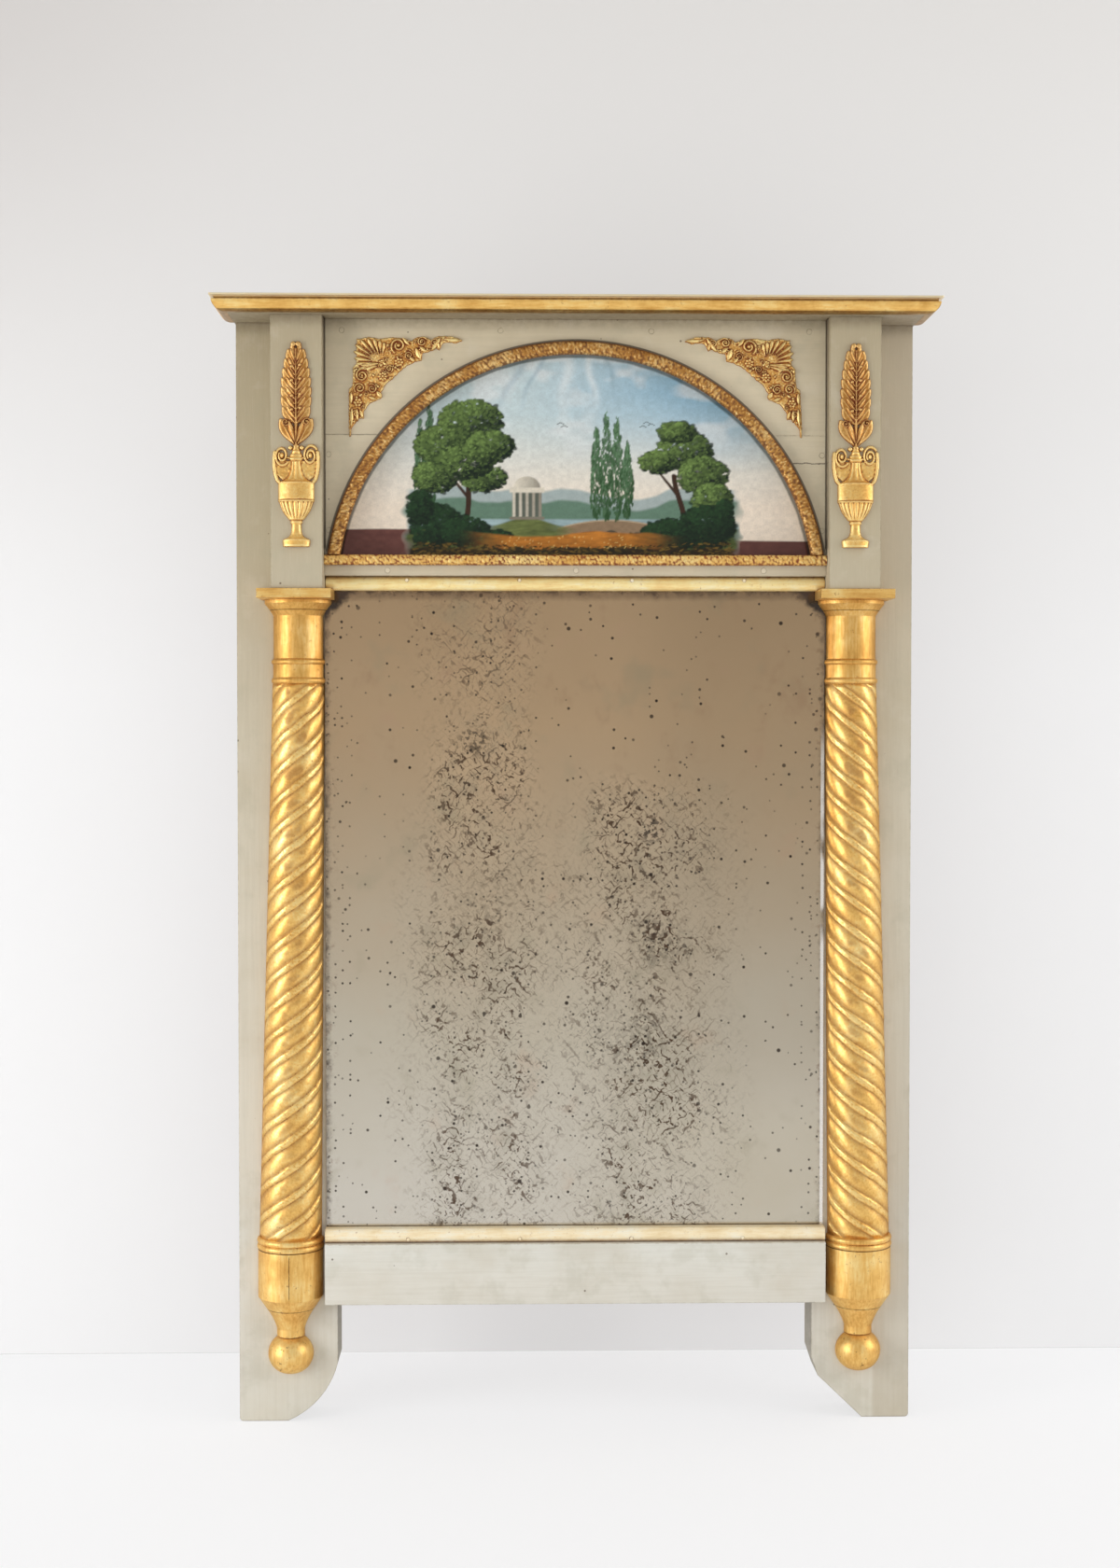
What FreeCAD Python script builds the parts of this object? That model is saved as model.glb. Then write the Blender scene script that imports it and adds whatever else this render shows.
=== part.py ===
"""Trumeau mirror: painted carcass, gilded columns and mouldings, arched picture over a mirror plate.

Millimetres.  +Z is up, the front faces -Y and X = 0 is the middle.  The origin lies on the floor
under the middle of the whole object.  Depths are counted forward from the plane of the back.
"""
import FreeCAD, Part
import math
import os

from FreeCAD import Vector

# ---------------------------------------------------------------- driving dimensions
# posts: two thick side boards that end in the feet
CARCASS_WIDTH = 726.0
POST_WIDTH = 106.0
POST_THICK = 54.0
LEFT_FOOT_RISE = 63.0
LEFT_FOOT_CUT = 54.0
LEFT_FOOT_SWELL = 10.0
RIGHT_FOOT_RISE = 67.0
RIGHT_FOOT_CUT = 55.0
RIGHT_FOOT_STEP = 7.0
SOLE_ROUND = 4.0

# rails between the posts, with their tenons and pegs
RAIL_THICK = 36.0
TOP_RAIL_HEIGHT = 45.0
MIDDLE_RAIL_HEIGHT = 50.0
LOWER_RAIL_HEIGHT = 74.0
TENON_LENGTH = 40.0
TENON_THICK = 12.0
TENON_SHOULDER = 8.0
PEG_RADIUS = 4.0
PEG_LENGTH = 44.0

# boards that close the back of the mirror, in grooves of the posts and rails
BACKBOARD_THICK = 10.0
BACKBOARD_SETBACK = 3.0
GROOVE_DEPTH = 9.0
BACKBOARD_GAP = 1.5
UPPER_BACKBOARD_HEIGHT = 228.0
LOWER_BACKBOARD_HEIGHT = 214.0

# heights up the front, from the floor
APRON_BOTTOM = 132.0
APRON_HEIGHT = 65.0
APRON_THICK = 24.0
MIRROR_MOULDING_HEIGHT = 15.0
MIRROR_MOULDING_THICK = 20.0
MIRROR_SIGHT_HEIGHT = 685.0
SILL_STRIP = 11.0

# mirror plate
PLATE_THICK = 3.5
PLATE_BEARING = 11.5
PLATE_REBATE = 6.0

# pilaster blocks
POST_MARGIN = 42.0
BLOCK_WIDTH = 54.0
BLOCK_THICK = 50.0

# frieze boards round the arched picture
FRIEZE_THICK = 26.0
FRIEZE_TOP_HEIGHT = 122.0
PICTURE_REBATE = 8.0
PICTURE_LIP = 12.0
GLASS_THICK = 3.0

# gilded arch
ARCH_CROWN_DROP = 23.0
ARCH_SPRING_DROP = 41.0
ARCH_WIDTH = 14.0
ARCH_RELIEF = 9.0
ARCH_ROUND = 4.5
ARCH_LAP = 3.0
ARCH_BASE_HEIGHT = 11.0
ARCH_BASE_END_GAP = 2.5

# cleats behind the picture
CLEAT_LENGTH = 34.0
CLEAT_WIDTH = 14.0
CLEAT_THICK = 6.0
CLEAT_ANGLES = (35.0, 90.0, 145.0)

# columns: half-round, standing on the front of the posts
ABACUS_HEIGHT = 10.0
ABACUS_HALF_WIDTH = 39.0
ABACUS_REACH = 54.0
CAPITAL_STEP = 4.0
ECHINUS_HEIGHT = 13.0
ECHINUS_RADIUS = 36.0
ECHINUS_HOLLOW = 0.5
NECK_HEIGHT = 46.0
NECK_RADIUS = 26.7
UPPER_BEAD = 6.0
BAND_HEIGHT = 14.0
BAND_RADIUS = 27.2
LOWER_BEAD = 6.5
BEAD_SWELL = 2.0
SHAFT_TOP_RADIUS = 28.0
SHAFT_BOTTOM_RADIUS = 33.6
SHAFT_RISE = 5.0
BASE_BEAD = 6.5
DRUM_RADIUS = 35.0
DRUM_HEIGHT = 51.5
DRUM_CHAMFER = 13.5
DRUM_FOOT_RADIUS = 26.0
CUP_HEIGHT = 22.0
CUP_HOLLOW = 1.2
CUP_NECK_RADIUS = 15.0
CUP_NECK_HEIGHT = 8.0
BALL_ROOT_RADIUS = 13.0
BALL_RADIUS = 24.5
BALL_TIP_RADIUS = 4.0
BALL_HEIGHT = 41.5
BALL_WAIST_DROP = 19.5
COLUMN_SETBACK = 3.5

# cornice
CORNICE_THICK = 17.0
CORNICE_BOARD_REACH = 10.0
CORNICE_SIDE_REACH = 1.5
OVOLO_WIDTH = 17.0
OVOLO_FOOT = 2.0
OVOLO_RISE = 11.5
QUIRK_HEIGHT = 3.5
QUIRK_SET_IN = 2.5
FILLET_SET_OUT = 2.0
FRONT_SPLICE_X = 32.0
GLUE_BLOCK_SIDE = 12.0
GLUE_BLOCK_LENGTH = 60.0
GLUE_BLOCK_X = (-180.0, 0.0, 180.0)

# pressed and gilded ornaments
SPRAY_FOOT_RISE = 146.0
SPRAY_HEIGHT = 111.0
SPRAY_HALF_WIDTH = 17.5
SPRAY_THICK = 6.0
SPRAY_STEP = 1.5
SPRAY_PAIRS = 7
SPRAY_LEAF_WIDTH = 7.0
SPRAY_LOW_LEAF = 27.0
URN_FOOT_RISE = 40.5
URN_HEIGHT = 104.0
URN_HALF_WIDTH = 25.0
URN_FOOT_RADIUS = 14.5
URN_FOOT_HEIGHT = 6.0
URN_STEM_RADIUS = 5.0
URN_STEM_TOP = 27.0
URN_BODY_RADIUS = 18.5
URN_BAND_BOTTOM = 46.0
URN_BAND_TOP = 65.5
URN_NECK_BASE_RADIUS = 13.0
URN_NECK_RADIUS = 6.5
URN_NECK_TOP = 90.0
URN_LIP_RADIUS = 8.0
URN_VOLUTE_RADIUS = 7.5
URN_VOLUTE_DROP = 12.0
URN_FLATNESS = 0.5
URN_HANDLE_THICK = 4.0
SPANDREL_THICK = 6.0
SPANDREL_GROUND = 3.0
SPANDREL_SIDE_GAP = 25.0
SPANDREL_TOP_DROP = 19.0
SPANDREL_ARCH_GAP = 29.0
# palmette: its root as shares of the ornament's width and height from its corner, then its fan of leaves
PALMETTE_ROOT = (0.29, 0.29)
PALMETTE_LEAVES = 7
PALMETTE_FIRST_ANGLE = -10.0
PALMETTE_SPREAD = 110.0
PALMETTE_LENGTH = 30.0
PALMETTE_LEAF_WIDTH = 7.0
# scrolls: places as such shares, and the radius as a share of the width
SPANDREL_SCROLLS = ((0.44, 0.12, 0.09), (0.15, 0.53, 0.08), (0.66, 0.11, 0.06), (0.12, 0.76, 0.055))

# iron hanger plates let into the back of the posts
HANGER_THICK = 2.0
HANGER_HEIGHT = 56.0
HANGER_OVERHANG = 26.0
HANGER_BEARING = 26.0
HANGER_HOLE_RADIUS = 4.5
HANGER_HOLE_INSET = 13.0
HANGER_DROP = 83.0
HANGER_SCREW_SPACING = 34.0
HANGER_SCREW_HEAD_RADIUS = 4.0
HANGER_SCREW_RADIUS = 1.8
HANGER_SCREW_LENGTH = 26.0

# screws, nails and pins
SCREW_RADIUS = 2.4
SCREW_HEAD_RADIUS = 4.6
SCREW_HEAD_SINK = 3.0
BLOCK_SCREW_LENGTH = 72.0
BLOCK_SCREW_RISE = 34.0
BLOCK_SCREW_DROP = 16.0
COLUMN_SCREW_LENGTH = 61.0
APRON_SCREW_LENGTH = 50.0
APRON_SCREW_X = (-190.0, 0.0, 190.0)
NAIL_RADIUS = 1.4
NAIL_HEAD_RADIUS = 2.6
NAIL_HEAD_THICK = 1.2
NAIL_LENGTH = 44.0
TOP_NAIL_END_GAP = 19.0
TOP_NAIL_INNER_X = 80.0
TOP_NAIL_DROP = 12.0
CHEEK_NAIL_RISE = 29.0
CHEEK_NAIL_DROP = 21.0
SILL_NAIL_END_GAP = 67.0
PIN_RADIUS = 1.0
PIN_HEAD_RADIUS = 1.8
PIN_LENGTH = 34.0
PIN_X = (-180.0, -60.0, 60.0, 180.0)

# clearances
JOINT_GAP = 0.3
HOLE_GAP = 0.15
COLUMN_CLEARANCE = 0.5
NOTCH_CLEARANCE = 0.8

# ---------------------------------------------------------------- worked-out places
POST_OUTER = CARCASS_WIDTH / 2
POST_INNER = POST_OUTER - POST_WIDTH
BLOCK_OUTER = POST_OUTER - POST_MARGIN
FIELD_HALF = BLOCK_OUTER - BLOCK_WIDTH
BLOCK_X = (BLOCK_OUTER + FIELD_HALF) / 2
PLATE_HALF = POST_INNER + PLATE_BEARING
LOWER_HALF = PLATE_HALF + COLUMN_CLEARANCE

BLOCK_FACE = POST_THICK + BLOCK_THICK
FRIEZE_FACE = POST_THICK + FRIEZE_THICK
RAIL_BACK = POST_THICK - RAIL_THICK
PLATE_FACE = POST_THICK + PLATE_THICK
GLASS_FACE = FRIEZE_FACE - PICTURE_LIP
GLASS_BACK = GLASS_FACE - GLASS_THICK
CORNICE_BOARD_FACE = BLOCK_FACE + CORNICE_BOARD_REACH
OVERALL_DEPTH = CORNICE_BOARD_FACE + OVOLO_WIDTH
BACK_Y = OVERALL_DEPTH / 2

APRON_TOP = APRON_BOTTOM + APRON_HEIGHT
SIGHT_BOTTOM = APRON_TOP + MIRROR_MOULDING_HEIGHT
SIGHT_TOP = SIGHT_BOTTOM + MIRROR_SIGHT_HEIGHT
SILL_BOTTOM = SIGHT_TOP + MIRROR_MOULDING_HEIGHT
ARCH_BASE_BOTTOM = SILL_BOTTOM + SILL_STRIP
ARCH_BASE_TOP = ARCH_BASE_BOTTOM + ARCH_BASE_HEIGHT
PICTURE_BOTTOM = ARCH_BASE_TOP - ARCH_LAP
ARCH_OUTER_R = FIELD_HALF
ARCH_INNER_R = ARCH_OUTER_R - ARCH_WIDTH
PICTURE_R = ARCH_INNER_R + ARCH_LAP
ARCH_Z = ARCH_BASE_TOP - ARCH_SPRING_DROP
CARCASS_HEIGHT = ARCH_Z + ARCH_OUTER_R + ARCH_CROWN_DROP
CHEEK_TOP = CARCASS_HEIGHT - FRIEZE_TOP_HEIGHT
HANGER_Z = CARCASS_HEIGHT - HANGER_DROP
BLOCK_BOTTOM = SIGHT_TOP

COLUMN_TOP_X = PLATE_HALF + COLUMN_CLEARANCE + SHAFT_TOP_RADIUS
COLUMN_FOOT_X = PLATE_HALF + COLUMN_CLEARANCE + COLUMN_SETBACK + DRUM_RADIUS
CAPITAL_TOP = BLOCK_BOTTOM - ABACUS_HEIGHT
NECK_TOP = CAPITAL_TOP - CAPITAL_STEP - ECHINUS_HEIGHT
NECK_BOTTOM = NECK_TOP - NECK_HEIGHT
BAND_TOP = NECK_BOTTOM - UPPER_BEAD
BAND_BOTTOM = BAND_TOP - BAND_HEIGHT
SHAFT_TOP = BAND_BOTTOM - LOWER_BEAD
SHAFT_BOTTOM = APRON_TOP + SHAFT_RISE
DRUM_TOP = SHAFT_BOTTOM - 2 * BASE_BEAD
DRUM_BOTTOM = DRUM_TOP - DRUM_HEIGHT
FINIAL_TOP = DRUM_BOTTOM - DRUM_CHAMFER
CUP_BOTTOM = FINIAL_TOP - CUP_HEIGHT
BALL_TOP = CUP_BOTTOM - CUP_NECK_HEIGHT
BALL_BOTTOM = BALL_TOP - BALL_HEIGHT

TOP_RAIL_BOTTOM = CARCASS_HEIGHT - TOP_RAIL_HEIGHT
MIDDLE_RAIL_TOP = ARCH_BASE_BOTTOM
MIDDLE_RAIL_BOTTOM = MIDDLE_RAIL_TOP - MIDDLE_RAIL_HEIGHT
LOWER_RAIL_TOP = SIGHT_BOTTOM
LOWER_RAIL_BOTTOM = LOWER_RAIL_TOP - LOWER_RAIL_HEIGHT
RAILS = {
    "top_rail": (TOP_RAIL_BOTTOM, CARCASS_HEIGHT),
    "middle_rail": (MIDDLE_RAIL_BOTTOM, MIDDLE_RAIL_TOP),
    "lower_rail": (LOWER_RAIL_BOTTOM, LOWER_RAIL_TOP),
}

BOARD_FRONT = POST_THICK - BACKBOARD_SETBACK
BOARD_BACK = BOARD_FRONT - BACKBOARD_THICK
BOARDS_BOTTOM = LOWER_RAIL_TOP - GROOVE_DEPTH
BOARDS_TOP = MIDDLE_RAIL_BOTTOM + GROOVE_DEPTH

SIDES = {"left": -1, "right": 1}


# ---------------------------------------------------------------- shared shapes
def box(x0, x1, d0, d1, z0, z1):
    """Box between two X, two depths from the back and two heights."""
    low_x = min(x0, x1)
    return Part.makeBox(abs(x1 - x0), d1 - d0, z1 - z0, Vector(low_x, BACK_Y - d1, z0))


def rod(x, z, radius, d0, d1):
    """Round bar that runs straight from depth d0 to depth d1."""
    return Part.makeCylinder(radius, d1 - d0, Vector(x, BACK_Y - d1, z), Vector(0, 1, 0))


def outline_edges(points):
    """Closed chain of edges; a point (a, b, c, d) is reached by an arc through (c, d)."""
    edges = []
    start = points[-1][:2]
    for point in points:
        a = Vector(start[0], 0, start[1])
        b = Vector(point[0], 0, point[1])
        if len(point) == 4:
            edges.append(Part.Arc(a, Vector(point[2], 0, point[3]), b).toShape())
        else:
            edges.append(Part.LineSegment(a, b).toShape())
        start = point[:2]
    return edges


def flat_face(points):
    """Face in the XZ plane from such a chain."""
    return Part.Face(Part.Wire(outline_edges(points)))


def plate(points, d0, d1):
    """Outline in X and Z made solid between two depths."""
    face = flat_face(points)
    face.translate(Vector(0, BACK_Y - d1, 0))
    return face.extrude(Vector(0, d1 - d0, 0))


def turned_half(x, profile):
    """Half-round turning on the front of the posts, from its (radius, height) profile."""
    face = flat_face(profile)
    face.translate(Vector(x, BACK_Y - POST_THICK, 0))
    return face.revolve(Vector(x, BACK_Y - POST_THICK, 0), Vector(0, 0, -1), 180)


def headed(x, z, radius, head_radius, head_thick, head_depth, tip_depth):
    """Nail, pin or screw with a flat head; the head's outer face is at head_depth."""
    inward = 1 if tip_depth > head_depth else -1
    head_end = head_depth + inward * head_thick
    head = rod(x, z, head_radius, min(head_depth, head_end), max(head_depth, head_end))
    shank = rod(x, z, radius, min(head_depth, tip_depth), max(head_depth, tip_depth))
    return head.fuse(shank).removeSplitter()


def drilled(shape, holes):
    """Shape with all the holes cut from it."""
    return shape.cut(Part.makeCompound(holes)).removeSplitter()


# ---------------------------------------------------------------- fasteners and their holes
def column_screw_places(side):
    """Places of the screws that hold one column's pieces, from its neck to its ball."""
    neck = (COLUMN_TOP_X, (NECK_TOP + NECK_BOTTOM) / 2)
    drum = (COLUMN_FOOT_X, (DRUM_TOP + DRUM_BOTTOM) / 2)
    ball = (COLUMN_FOOT_X, (BALL_TOP + BALL_BOTTOM) / 2)
    places = [neck, drum, ball]
    for share in (0.15, 0.5, 0.85):
        x = COLUMN_FOOT_X + share * (COLUMN_TOP_X - COLUMN_FOOT_X)
        z = SHAFT_BOTTOM + share * (SHAFT_TOP - SHAFT_BOTTOM)
        places.append((x, z))
    return [(side * x, z) for x, z in places]


def block_screw_places(side):
    """Places of the screws that hold one pilaster block."""
    low = MIDDLE_RAIL_TOP + BLOCK_SCREW_RISE
    high = TOP_RAIL_BOTTOM - BLOCK_SCREW_DROP
    return [(side * BLOCK_X, low), (side * BLOCK_X, high)]


def back_screw(x, z, start, length, gap=0.0):
    """Screw driven forward from depth start; gap widens it into its own hole."""
    return headed(x, z, SCREW_RADIUS + gap, SCREW_HEAD_RADIUS + gap, SCREW_HEAD_SINK,
                  start, start + length + gap)


def frieze_nail_places():
    """Places of the nails through the frieze boards into the rails and posts."""
    top_end = FIELD_HALF - TOP_NAIL_END_GAP
    sill_end = FIELD_HALF - SILL_NAIL_END_GAP
    cheek_x = (POST_INNER + FIELD_HALF) / 2
    places = [(0, SILL_BOTTOM + SILL_STRIP / 2)]
    for side in SIDES.values():
        places.append((side * top_end, CARCASS_HEIGHT - TOP_NAIL_DROP))
        places.append((side * TOP_NAIL_INNER_X, CARCASS_HEIGHT - TOP_NAIL_DROP))
        places.append((side * cheek_x, CHEEK_TOP - CHEEK_NAIL_DROP))
        places.append((side * cheek_x, PICTURE_BOTTOM + CHEEK_NAIL_RISE))
        places.append((side * sill_end, SILL_BOTTOM + SILL_STRIP / 2))
    return places


def frieze_nail(x, z, gap=0.0):
    """One nail, its head flush with the frieze."""
    return headed(x, z, NAIL_RADIUS + gap, NAIL_HEAD_RADIUS + gap, NAIL_HEAD_THICK,
                  FRIEZE_FACE, FRIEZE_FACE - NAIL_LENGTH - gap)


def pin_places():
    """Places of the pins through the two mouldings that hold the mirror plate."""
    above = (SIGHT_TOP + PLATE_REBATE + SILL_BOTTOM) / 2
    below = (SIGHT_BOTTOM - PLATE_REBATE + APRON_TOP) / 2
    return [(x, z) for z in (above, below) for x in PIN_X]


def retaining_pin(x, z, gap=0.0):
    """One pin, its head flush with the moulding."""
    front = POST_THICK + MIRROR_MOULDING_THICK
    return headed(x, z, PIN_RADIUS + gap, PIN_HEAD_RADIUS + gap, NAIL_HEAD_THICK,
                  front, front - PIN_LENGTH - gap)


def hanger_screw_places(side):
    """Places of the two screws of one hanger plate."""
    x = side * (POST_INNER + HANGER_BEARING / 2)
    return [(x, HANGER_Z + step * HANGER_SCREW_SPACING / 2) for step in (-1, 1)]


def hanger_screw(x, z, gap=0.0):
    """Countersunk screw through a hanger plate, flush with the back."""
    head = Part.makeCone(HANGER_SCREW_RADIUS + gap, HANGER_SCREW_HEAD_RADIUS + gap, HANGER_THICK,
                         Vector(x, BACK_Y - HANGER_THICK, z), Vector(0, 1, 0))
    shank = rod(x, z, HANGER_SCREW_RADIUS + gap, HANGER_THICK, HANGER_SCREW_LENGTH + gap)
    return head.fuse(shank).removeSplitter()


def peg_places():
    """Places of the pegs through the posts and tenons."""
    x = POST_INNER + TENON_LENGTH / 2
    return [(side * x, (low + high) / 2) for side in SIDES.values() for low, high in RAILS.values()]


# ---------------------------------------------------------------- carcass
def foot_outline(side):
    """Outline of a post from the front; the inner corner of each foot is cut its own way."""
    top = CARCASS_HEIGHT
    if side < 0:
        sole = POST_INNER + LEFT_FOOT_CUT
        middle_x = (POST_INNER + sole) / 2 - LEFT_FOOT_SWELL / math.sqrt(2)
        middle_z = LEFT_FOOT_RISE / 2 - LEFT_FOOT_SWELL / math.sqrt(2)
        inner = [(POST_INNER, top), (POST_INNER, LEFT_FOOT_RISE), (sole, 0, middle_x, middle_z)]
    else:
        sole = POST_INNER + RIGHT_FOOT_CUT
        shoulder = (POST_INNER + RIGHT_FOOT_STEP, RIGHT_FOOT_RISE - 3 * RIGHT_FOOT_STEP)
        inner = [(POST_INNER, top), (POST_INNER, RIGHT_FOOT_RISE), shoulder, (sole, 0)]
    set_in = SOLE_ROUND * (1 - math.sqrt(0.5))
    outer = [
        (POST_OUTER - SOLE_ROUND, 0),
        (POST_OUTER, SOLE_ROUND, POST_OUTER - set_in, set_in),
        (POST_OUTER, top),
    ]
    return [tuple(side * v if i % 2 == 0 else v for i, v in enumerate(p)) for p in inner + outer]


def rail_tenon(side, low, high, gap=0.0):
    """Tenon at one end of a rail; gap widens it into its mortise."""
    middle = RAIL_BACK + RAIL_THICK / 2 - BACKBOARD_THICK / 2
    return box(side * (POST_INNER - gap), side * (POST_INNER + TENON_LENGTH + gap),
               middle - TENON_THICK / 2 - gap, middle + TENON_THICK / 2 + gap,
               low + TENON_SHOULDER - gap, high - TENON_SHOULDER + gap)


def post(side):
    """Side board with its foot, mortises, backboard groove, hanger recess and screw holes."""
    body = plate(foot_outline(side), 0, POST_THICK)
    cuts = [rail_tenon(side, low, high, JOINT_GAP) for low, high in RAILS.values()]
    cuts.append(box(side * POST_INNER, side * (POST_INNER + GROOVE_DEPTH), BOARD_BACK - JOINT_GAP,
                    BOARD_FRONT + JOINT_GAP, BOARDS_BOTTOM, BOARDS_TOP))
    cuts.append(box(side * POST_INNER, side * (POST_INNER + HANGER_BEARING + JOINT_GAP), 0, HANGER_THICK,
                    HANGER_Z - HANGER_HEIGHT / 2 - JOINT_GAP, HANGER_Z + HANGER_HEIGHT / 2 + JOINT_GAP))
    cuts += [hanger_screw(x, z, HOLE_GAP) for x, z in hanger_screw_places(side)]
    cuts += [rod(x, z, PEG_RADIUS + HOLE_GAP, 0, PEG_LENGTH) for x, z in peg_places() if x * side > 0]
    cuts += [back_screw(x, z, 0, BLOCK_SCREW_LENGTH, HOLE_GAP) for x, z in block_screw_places(side)]
    cuts += [back_screw(x, z, 0, COLUMN_SCREW_LENGTH, HOLE_GAP) for x, z in column_screw_places(side)]
    cuts += [frieze_nail(x, z, HOLE_GAP) for x, z in frieze_nail_places() if x * side > POST_INNER]
    return drilled(body, cuts)


def rail(low, high):
    """Rail with a tenon at both ends, set back from the rear of the posts."""
    body = box(-POST_INNER, POST_INNER, RAIL_BACK, POST_THICK, low, high)
    for side in SIDES.values():
        body = body.fuse(rail_tenon(side, low, high))
    cuts = [rod(x, z, PEG_RADIUS + HOLE_GAP, 0, PEG_LENGTH) for x, z in peg_places() if low < z < high]
    cuts += [frieze_nail(x, z, HOLE_GAP) for x, z in frieze_nail_places() if low < z < high]
    cuts += [retaining_pin(x, z, HOLE_GAP) for x, z in pin_places() if low < z < high]
    cuts += [apron_screw(x, HOLE_GAP) for x in APRON_SCREW_X if low == LOWER_RAIL_BOTTOM]
    cuts.append(box(-POST_INNER, POST_INNER, BOARD_BACK - JOINT_GAP, BOARD_FRONT + JOINT_GAP,
                    BOARDS_BOTTOM, BOARDS_TOP))
    return drilled(body.removeSplitter(), cuts)


def frame_pegs():
    """Pegs driven from the back through posts and tenons."""
    return Part.makeCompound([rod(x, z, PEG_RADIUS, 0, PEG_LENGTH) for x, z in peg_places()])


def backboards():
    """Three planks that lie in the grooves behind the mirror plate."""
    half = POST_INNER + GROOVE_DEPTH - JOINT_GAP
    low = BOARDS_BOTTOM + JOINT_GAP
    high = BOARDS_TOP - JOINT_GAP
    lower_top = low + LOWER_BACKBOARD_HEIGHT
    upper_bottom = high - UPPER_BACKBOARD_HEIGHT
    spans = {
        "lower_backboard": (low, lower_top),
        "centre_backboard": (lower_top + BACKBOARD_GAP, upper_bottom - BACKBOARD_GAP),
        "upper_backboard": (upper_bottom, high),
    }
    return {name: box(-half, half, BOARD_BACK, BOARD_FRONT, *span) for name, span in spans.items()}


# ---------------------------------------------------------------- apron and mirror
def apron_screw(x, gap=0.0):
    """Screw through the lower rail into the apron."""
    z = (APRON_TOP + LOWER_RAIL_BOTTOM) / 2
    return back_screw(x, z, RAIL_BACK, APRON_SCREW_LENGTH, gap)


def bottom_apron():
    """Painted board under the mirror."""
    body = box(-LOWER_HALF, LOWER_HALF, POST_THICK, POST_THICK + APRON_THICK, APRON_BOTTOM, APRON_TOP)
    return drilled(body, [apron_screw(x, HOLE_GAP) for x in APRON_SCREW_X])


def mirror_plate():
    """Silvered plate, held by its edges behind the two mouldings."""
    return box(-PLATE_HALF, PLATE_HALF, POST_THICK, PLATE_FACE,
               SIGHT_BOTTOM - PLATE_REBATE, SIGHT_TOP + PLATE_REBATE)


def mirror_moulding(half, outer_z, sight_z):
    """Rebated gilded strip whose round front runs along X; the plate's edge lies in the rebate."""
    front = POST_THICK + MIRROR_MOULDING_THICK
    toward = 1 if sight_z > outer_z else -1
    shoulder = front - MIRROR_MOULDING_HEIGHT / 3
    middle = (outer_z + sight_z) / 2
    rebate_z = sight_z - toward * (PLATE_REBATE + JOINT_GAP)
    rebate_d = PLATE_FACE + JOINT_GAP
    profile = [
        (outer_z, POST_THICK),
        (outer_z, shoulder),
        (sight_z, shoulder, middle, front),
        (sight_z, rebate_d),
        (rebate_z, rebate_d),
        (rebate_z, POST_THICK),
    ]
    body = run_along_x(profile, -half, half)
    holes = [retaining_pin(x, z, HOLE_GAP) for x, z in pin_places() if (z > middle) == (outer_z > middle)
             or abs(z - middle) < MIRROR_MOULDING_HEIGHT]
    return drilled(body, holes)


def run_along_x(profile, x0, x1):
    """Straight moulding from a chain of (height, depth) points."""
    edges = []
    start = profile[-1][:2]
    for point in profile:
        a = Vector(x0, BACK_Y - start[1], start[0])
        b = Vector(x0, BACK_Y - point[1], point[0])
        if len(point) == 4:
            edges.append(Part.Arc(a, Vector(x0, BACK_Y - point[3], point[2]), b).toShape())
        else:
            edges.append(Part.LineSegment(a, b).toShape())
        start = point[:2]
    return Part.Face(Part.Wire(edges)).extrude(Vector(x1 - x0, 0, 0))


# ---------------------------------------------------------------- frieze and picture
def arch_segment(radius, bottom, d0, d1):
    """Part of a disc about the arch's centre that lies above a height."""
    disc = rod(0, ARCH_Z, radius, d0, d1)
    return disc.common(box(-radius, radius, d0, d1, bottom, ARCH_Z + radius))


def frieze_board(x0, x1, low, high):
    """Board of the frieze with its share of the picture opening and the rebate behind it."""
    body = box(x0, x1, POST_THICK, FRIEZE_FACE, low, high)
    opening = arch_segment(PICTURE_R, PICTURE_BOTTOM, POST_THICK, FRIEZE_FACE)
    rebate = arch_segment(PICTURE_R + PICTURE_REBATE, PICTURE_BOTTOM - PICTURE_REBATE, POST_THICK, GLASS_FACE)
    nails = [frieze_nail(x, z, HOLE_GAP) for x, z in frieze_nail_places()]
    return drilled(body, [opening, rebate] + nails)


def frieze_boards():
    """Top board, two cheeks and the sill, jointed edge to edge."""
    half = FIELD_HALF
    return {
        "frieze_top_board": frieze_board(-half, half, CHEEK_TOP, CARCASS_HEIGHT),
        "frieze_left_cheek": frieze_board(-half, 0, PICTURE_BOTTOM, CHEEK_TOP),
        "frieze_right_cheek": frieze_board(0, half, PICTURE_BOTTOM, CHEEK_TOP),
        "frieze_sill": frieze_board(-half, half, SILL_BOTTOM, PICTURE_BOTTOM),
    }


def lunette(d0, d1):
    """Arched pane or panel that fits the rebate of the frieze."""
    radius = PICTURE_R + PICTURE_REBATE - JOINT_GAP
    return arch_segment(radius, PICTURE_BOTTOM - PICTURE_REBATE, d0, d1)


def lunette_cleats():
    """Wooden cleats on the back of the frieze that keep the picture's panel in its rebate."""
    radius = PICTURE_R + PICTURE_REBATE
    cleats = []
    for angle in CLEAT_ANGLES:
        cleat = box(-CLEAT_LENGTH / 2, CLEAT_LENGTH / 2, POST_THICK - CLEAT_THICK, POST_THICK,
                    -CLEAT_WIDTH / 2, CLEAT_WIDTH / 2)
        reach = min(radius, (TOP_RAIL_BOTTOM - CLEAT_LENGTH - ARCH_Z) / math.sin(math.radians(angle)))
        cleat.translate(Vector(reach, 0, 0))
        cleat.rotate(Vector(0, 0, 0), Vector(0, 1, 0), -angle)
        cleat.translate(Vector(0, 0, ARCH_Z))
        cleats.append(cleat)
    return Part.makeCompound(cleats)


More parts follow.
